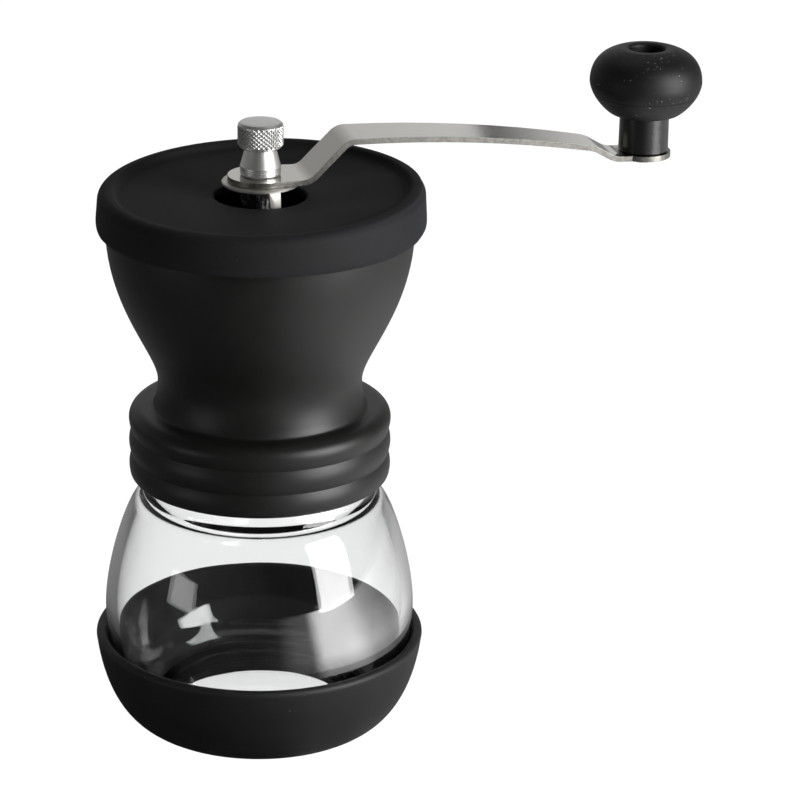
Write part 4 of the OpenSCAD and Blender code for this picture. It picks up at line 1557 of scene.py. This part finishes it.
@dataclass
class Studio:
    """Camera, white surroundings, floor and lamps.

    What the pieces mirror changes with the direction, by degrees from the far side (+Y) towards the crank's
    side (+X): reflections gives the brightness above the floor. The floor's brightness in mirror images is
    painted light set by direction, and a painted glare band on the floor, standing in for the key lamp's
    reflection, is mirrored only by clear glass. Something dark stands between the two angles of post and
    fades out towards the second.
    """

    swing: float = 12.0
    distance: float = 898.58 * MM
    height: float = 432.0 * MM
    yaw: float = 2.548
    pitch: float = 20.422
    roll: float = 0.994
    lens: float = 151.07
    ambient: float = 0.09
    dim: float = 0.05
    reflections: tuple[Point, ...] = (
        (-180, 0.05), (-110, 0.08), (-60, 0.2), (-17, 0.36), (12, 0.62), (18.5, 0.74), (22, 0.7), (30, 0.4),
        (50, 0.15), (180, 0.05))
    # Painted reflection: a bright band on the floor, standing in for the key lamp's reflection, that only
    # clear glass mirrors.
    painted_glare: tuple[Point, ...] = ((-180, 0), (92, 0), (112, 0.3), (127, 0.95), (150, 1), (158, 0.05), (180, 0))
    painted_glare_level: float = 6.5
    post: Point = (18.55, 21.8)
    post_dark: float = 0.95
    # Painted light: how bright the floor glows in mirror images, by direction.
    painted_floor_glow: tuple[Point, ...] = (
        (-180, 0.2), (-165, 0.12), (-100, 0.1), (-60, 0.12), (12, 0.3), (55, 0.5), (92, 1.1), (140, 1.2),
        (150, 0.75), (168, 0.75), (180, 0.2))
    ceiling: float = 0.55
    glow: float = 1.12
    glow_share: float = 0.9
    # Painted light: the floor's glow in mirror images dims beyond the near radius.
    near_floor: float = 0.3
    far_floor_dim: float = 0.3
    # Painted shadow: within this radius the floor's glow in mirror images is dimmed by the share below.
    painted_shade_radius: float = 0.1
    painted_shade_dim: float = 0.65
    sensor: float = 36.0
    clip: float = 0.01
    floor_size: float = 6.0
    floor_drop: float = 0.2 * MM
    floor_grey: float = 0.9
    floor_roughness: float = 0.8
    lamps: tuple[Softbox, ...] = (
        Softbox("key", (0.59, -0.535, 0.31), (0.44, 0.6), 9.6),
        Softbox("window", (-0.76, -0.24, 0.075), (0.3, 0.14), 0.36),
        Softbox("top", (0.05, 0.25, 0.85), (0.6, 0.4), 0.5))

    def camera(self) -> None:
        """Sets the camera where the grinder is seen from."""
        yaw, pitch, roll = (math.radians(a) for a in (self.yaw, self.pitch, self.roll))
        level = math.cos(pitch)
        forward = Vector((math.sin(yaw) * level, math.cos(yaw) * level, -math.sin(pitch)))
        right = forward.cross(Vector((0, 0, 1))).normalized()
        up = right.cross(forward)
        tilt, upright = math.sin(roll), math.cos(roll)
        right, up = upright * right + tilt * up, upright * up - tilt * right
        axes = Matrix((right, up, -forward)).transposed().to_4x4()
        spin = Matrix.Rotation(-math.radians(self.swing), 4, "Z")
        bpy.ops.object.camera_add()
        camera = bpy.context.object
        camera.name = "camera"
        camera.matrix_world = spin @ Matrix.Translation((0, -self.distance, self.height)) @ axes
        camera.data.lens = self.lens
        camera.data.sensor_width = self.sensor
        camera.data.clip_start = self.clip
        bpy.context.scene.camera = camera

    def surroundings(self) -> None:
        """White behind the grinder and in glass, and dimmer where it lights or is mirrored."""
        world = bpy.data.worlds.new("studio")
        bpy.context.scene.world = world
        world.use_nodes = True
        graph = Graph(world.node_tree)
        way = graph.node("ShaderNodeTexCoord", {}, {}, "Generated")
        x, y, z = (graph.node("ShaderNodeSeparateXYZ", {}, {0: way}, axis) for axis in "XYZ")
        around = self.by_way(graph, x, y, self.reflections)
        start, end = (math.radians(angle) for angle in self.post)
        turn = x.math("ARCTAN2", y)
        past = ((turn - start) * (1 / (end - start))).math("MINIMUM", 1.0)
        around = around * (1 - self.post_dark * (turn.above(start, 0.002) * (1 - past)))
        high = z.above(self.ceiling, 0.3)
        mirrored = around * (1 - high) + self.dim * high
        seen, reflected = graph.views()
        level = seen.math("MAXIMUM", reflected * mirrored).math("MAXIMUM", (1 - reflected) * self.ambient)
        back = graph.tree.nodes["Background"]
        graph.feed(back.inputs["Color"], (1, 1, 1, 1))
        graph.feed(back.inputs["Strength"], level)

    @staticmethod
    def by_way(graph: Graph, x: Value, y: Value, levels: Sequence[Point]) -> Value:
        """How bright it is in a direction.

        Args:
            graph: Graph to add to.
            x: Share of the direction towards +X.
            y: Share of the direction towards +Y.
            levels: Brightness by degrees from +Y towards +X.

        Returns:
            The brightness.
        """
        turn = x.math("ARCTAN2", y) * (1 / math.tau) + 0.5
        stops = [(angle / 360 + 0.5, level) for angle, level in levels]
        return graph.node("ShaderNodeValToRGB", {"stops": stops}, {0: turn})

    def floor(self) -> None:
        """A white floor that keeps a soft trace of the grinder's shadow; in mirror images it glows with
        painted light and painted shadow instead.
        """
        bpy.ops.mesh.primitive_plane_add(size=self.floor_size, location=(0, 0, -self.floor_drop))
        floor = bpy.context.object
        floor.name = "floor"
        material = bpy.data.materials.new("white_floor")
        material.use_nodes = True
        graph = Graph(material.node_tree)
        surface = graph.tree.nodes["Principled BSDF"]
        graph.feed(surface.inputs["Base Color"], (self.floor_grey, self.floor_grey, self.floor_grey, 1))
        graph.feed(surface.inputs["Roughness"], self.floor_roughness)
        seen, reflected = graph.views()
        glow = graph.node("ShaderNodeEmission", {}, {"Strength": self.glow})
        lit = Value(graph, surface.outputs[0])
        place = graph.node("ShaderNodeTexCoord", {}, {}, "Object")
        away = graph.node("ShaderNodeVectorMath", {"operation": "LENGTH"}, {0: place}, "Value")
        near = 1 - away.above(self.near_floor, 0.1)
        x, y = (graph.node("ShaderNodeSeparateXYZ", {}, {0: place}, axis) for axis in "XY")
        # Painted light: in mirror images the floor glows by direction, dimmer far away, instead of being lit.
        level = self.by_way(graph, x, y, self.painted_floor_glow) * (1 - self.far_floor_dim * (1 - near))
        # Painted reflection: a glare band that only singular rays see, standing in for the key lamp's
        # reflection in glass.
        painted_glare = self.by_way(graph, x, y, self.painted_glare) * (self.painted_glare_level * graph.ray("Is Singular Ray"))
        # Painted shadow: the floor's glow dims close to the grinder.
        level = (level + painted_glare) * (1 - self.painted_shade_dim * (1 - away.above(self.painted_shade_radius, 0.05)))
        mirrored = graph.node("ShaderNodeEmission", {}, {"Strength": level})
        dimmed = graph.node("ShaderNodeMixShader", {}, {0: reflected, 1: lit, 2: mirrored})
        mix = graph.node("ShaderNodeMixShader", {}, {0: seen * self.glow_share, 1: dimmed, 2: glow})
        graph.feed(graph.tree.nodes["Material Output"].inputs["Surface"], mix)
        floor.data.materials.append(material)

    def build(self) -> None:
        """Sets up the whole studio."""
        self.camera()
        self.surroundings()
        self.floor()
        for lamp in self.lamps:
            lamp.build()
        bpy.context.scene.view_settings.view_transform = "Standard"


def main() -> None:
    """Builds the grinder and its studio."""
    logging.basicConfig(level=logging.INFO, format="%(name)s: %(message)s")
    studio = Studio()
    studio.build()
    finishes = Finishes()
    line = JarLine()
    collar = Collar()
    parts = (BaseCover(line, finishes), GlassJar(line, collar, finishes), Hopper(collar, finishes),
             Lid(finishes), LockRing(finishes), AdjusterNut(finishes), CrankArm(finishes),
             KnurledNut(finishes), Knob(finishes), Inside(finishes))
    for part in parts:
        part.build()
        log.info("%s done", type(part).__name__)


if __name__ == "__main__":
    main()
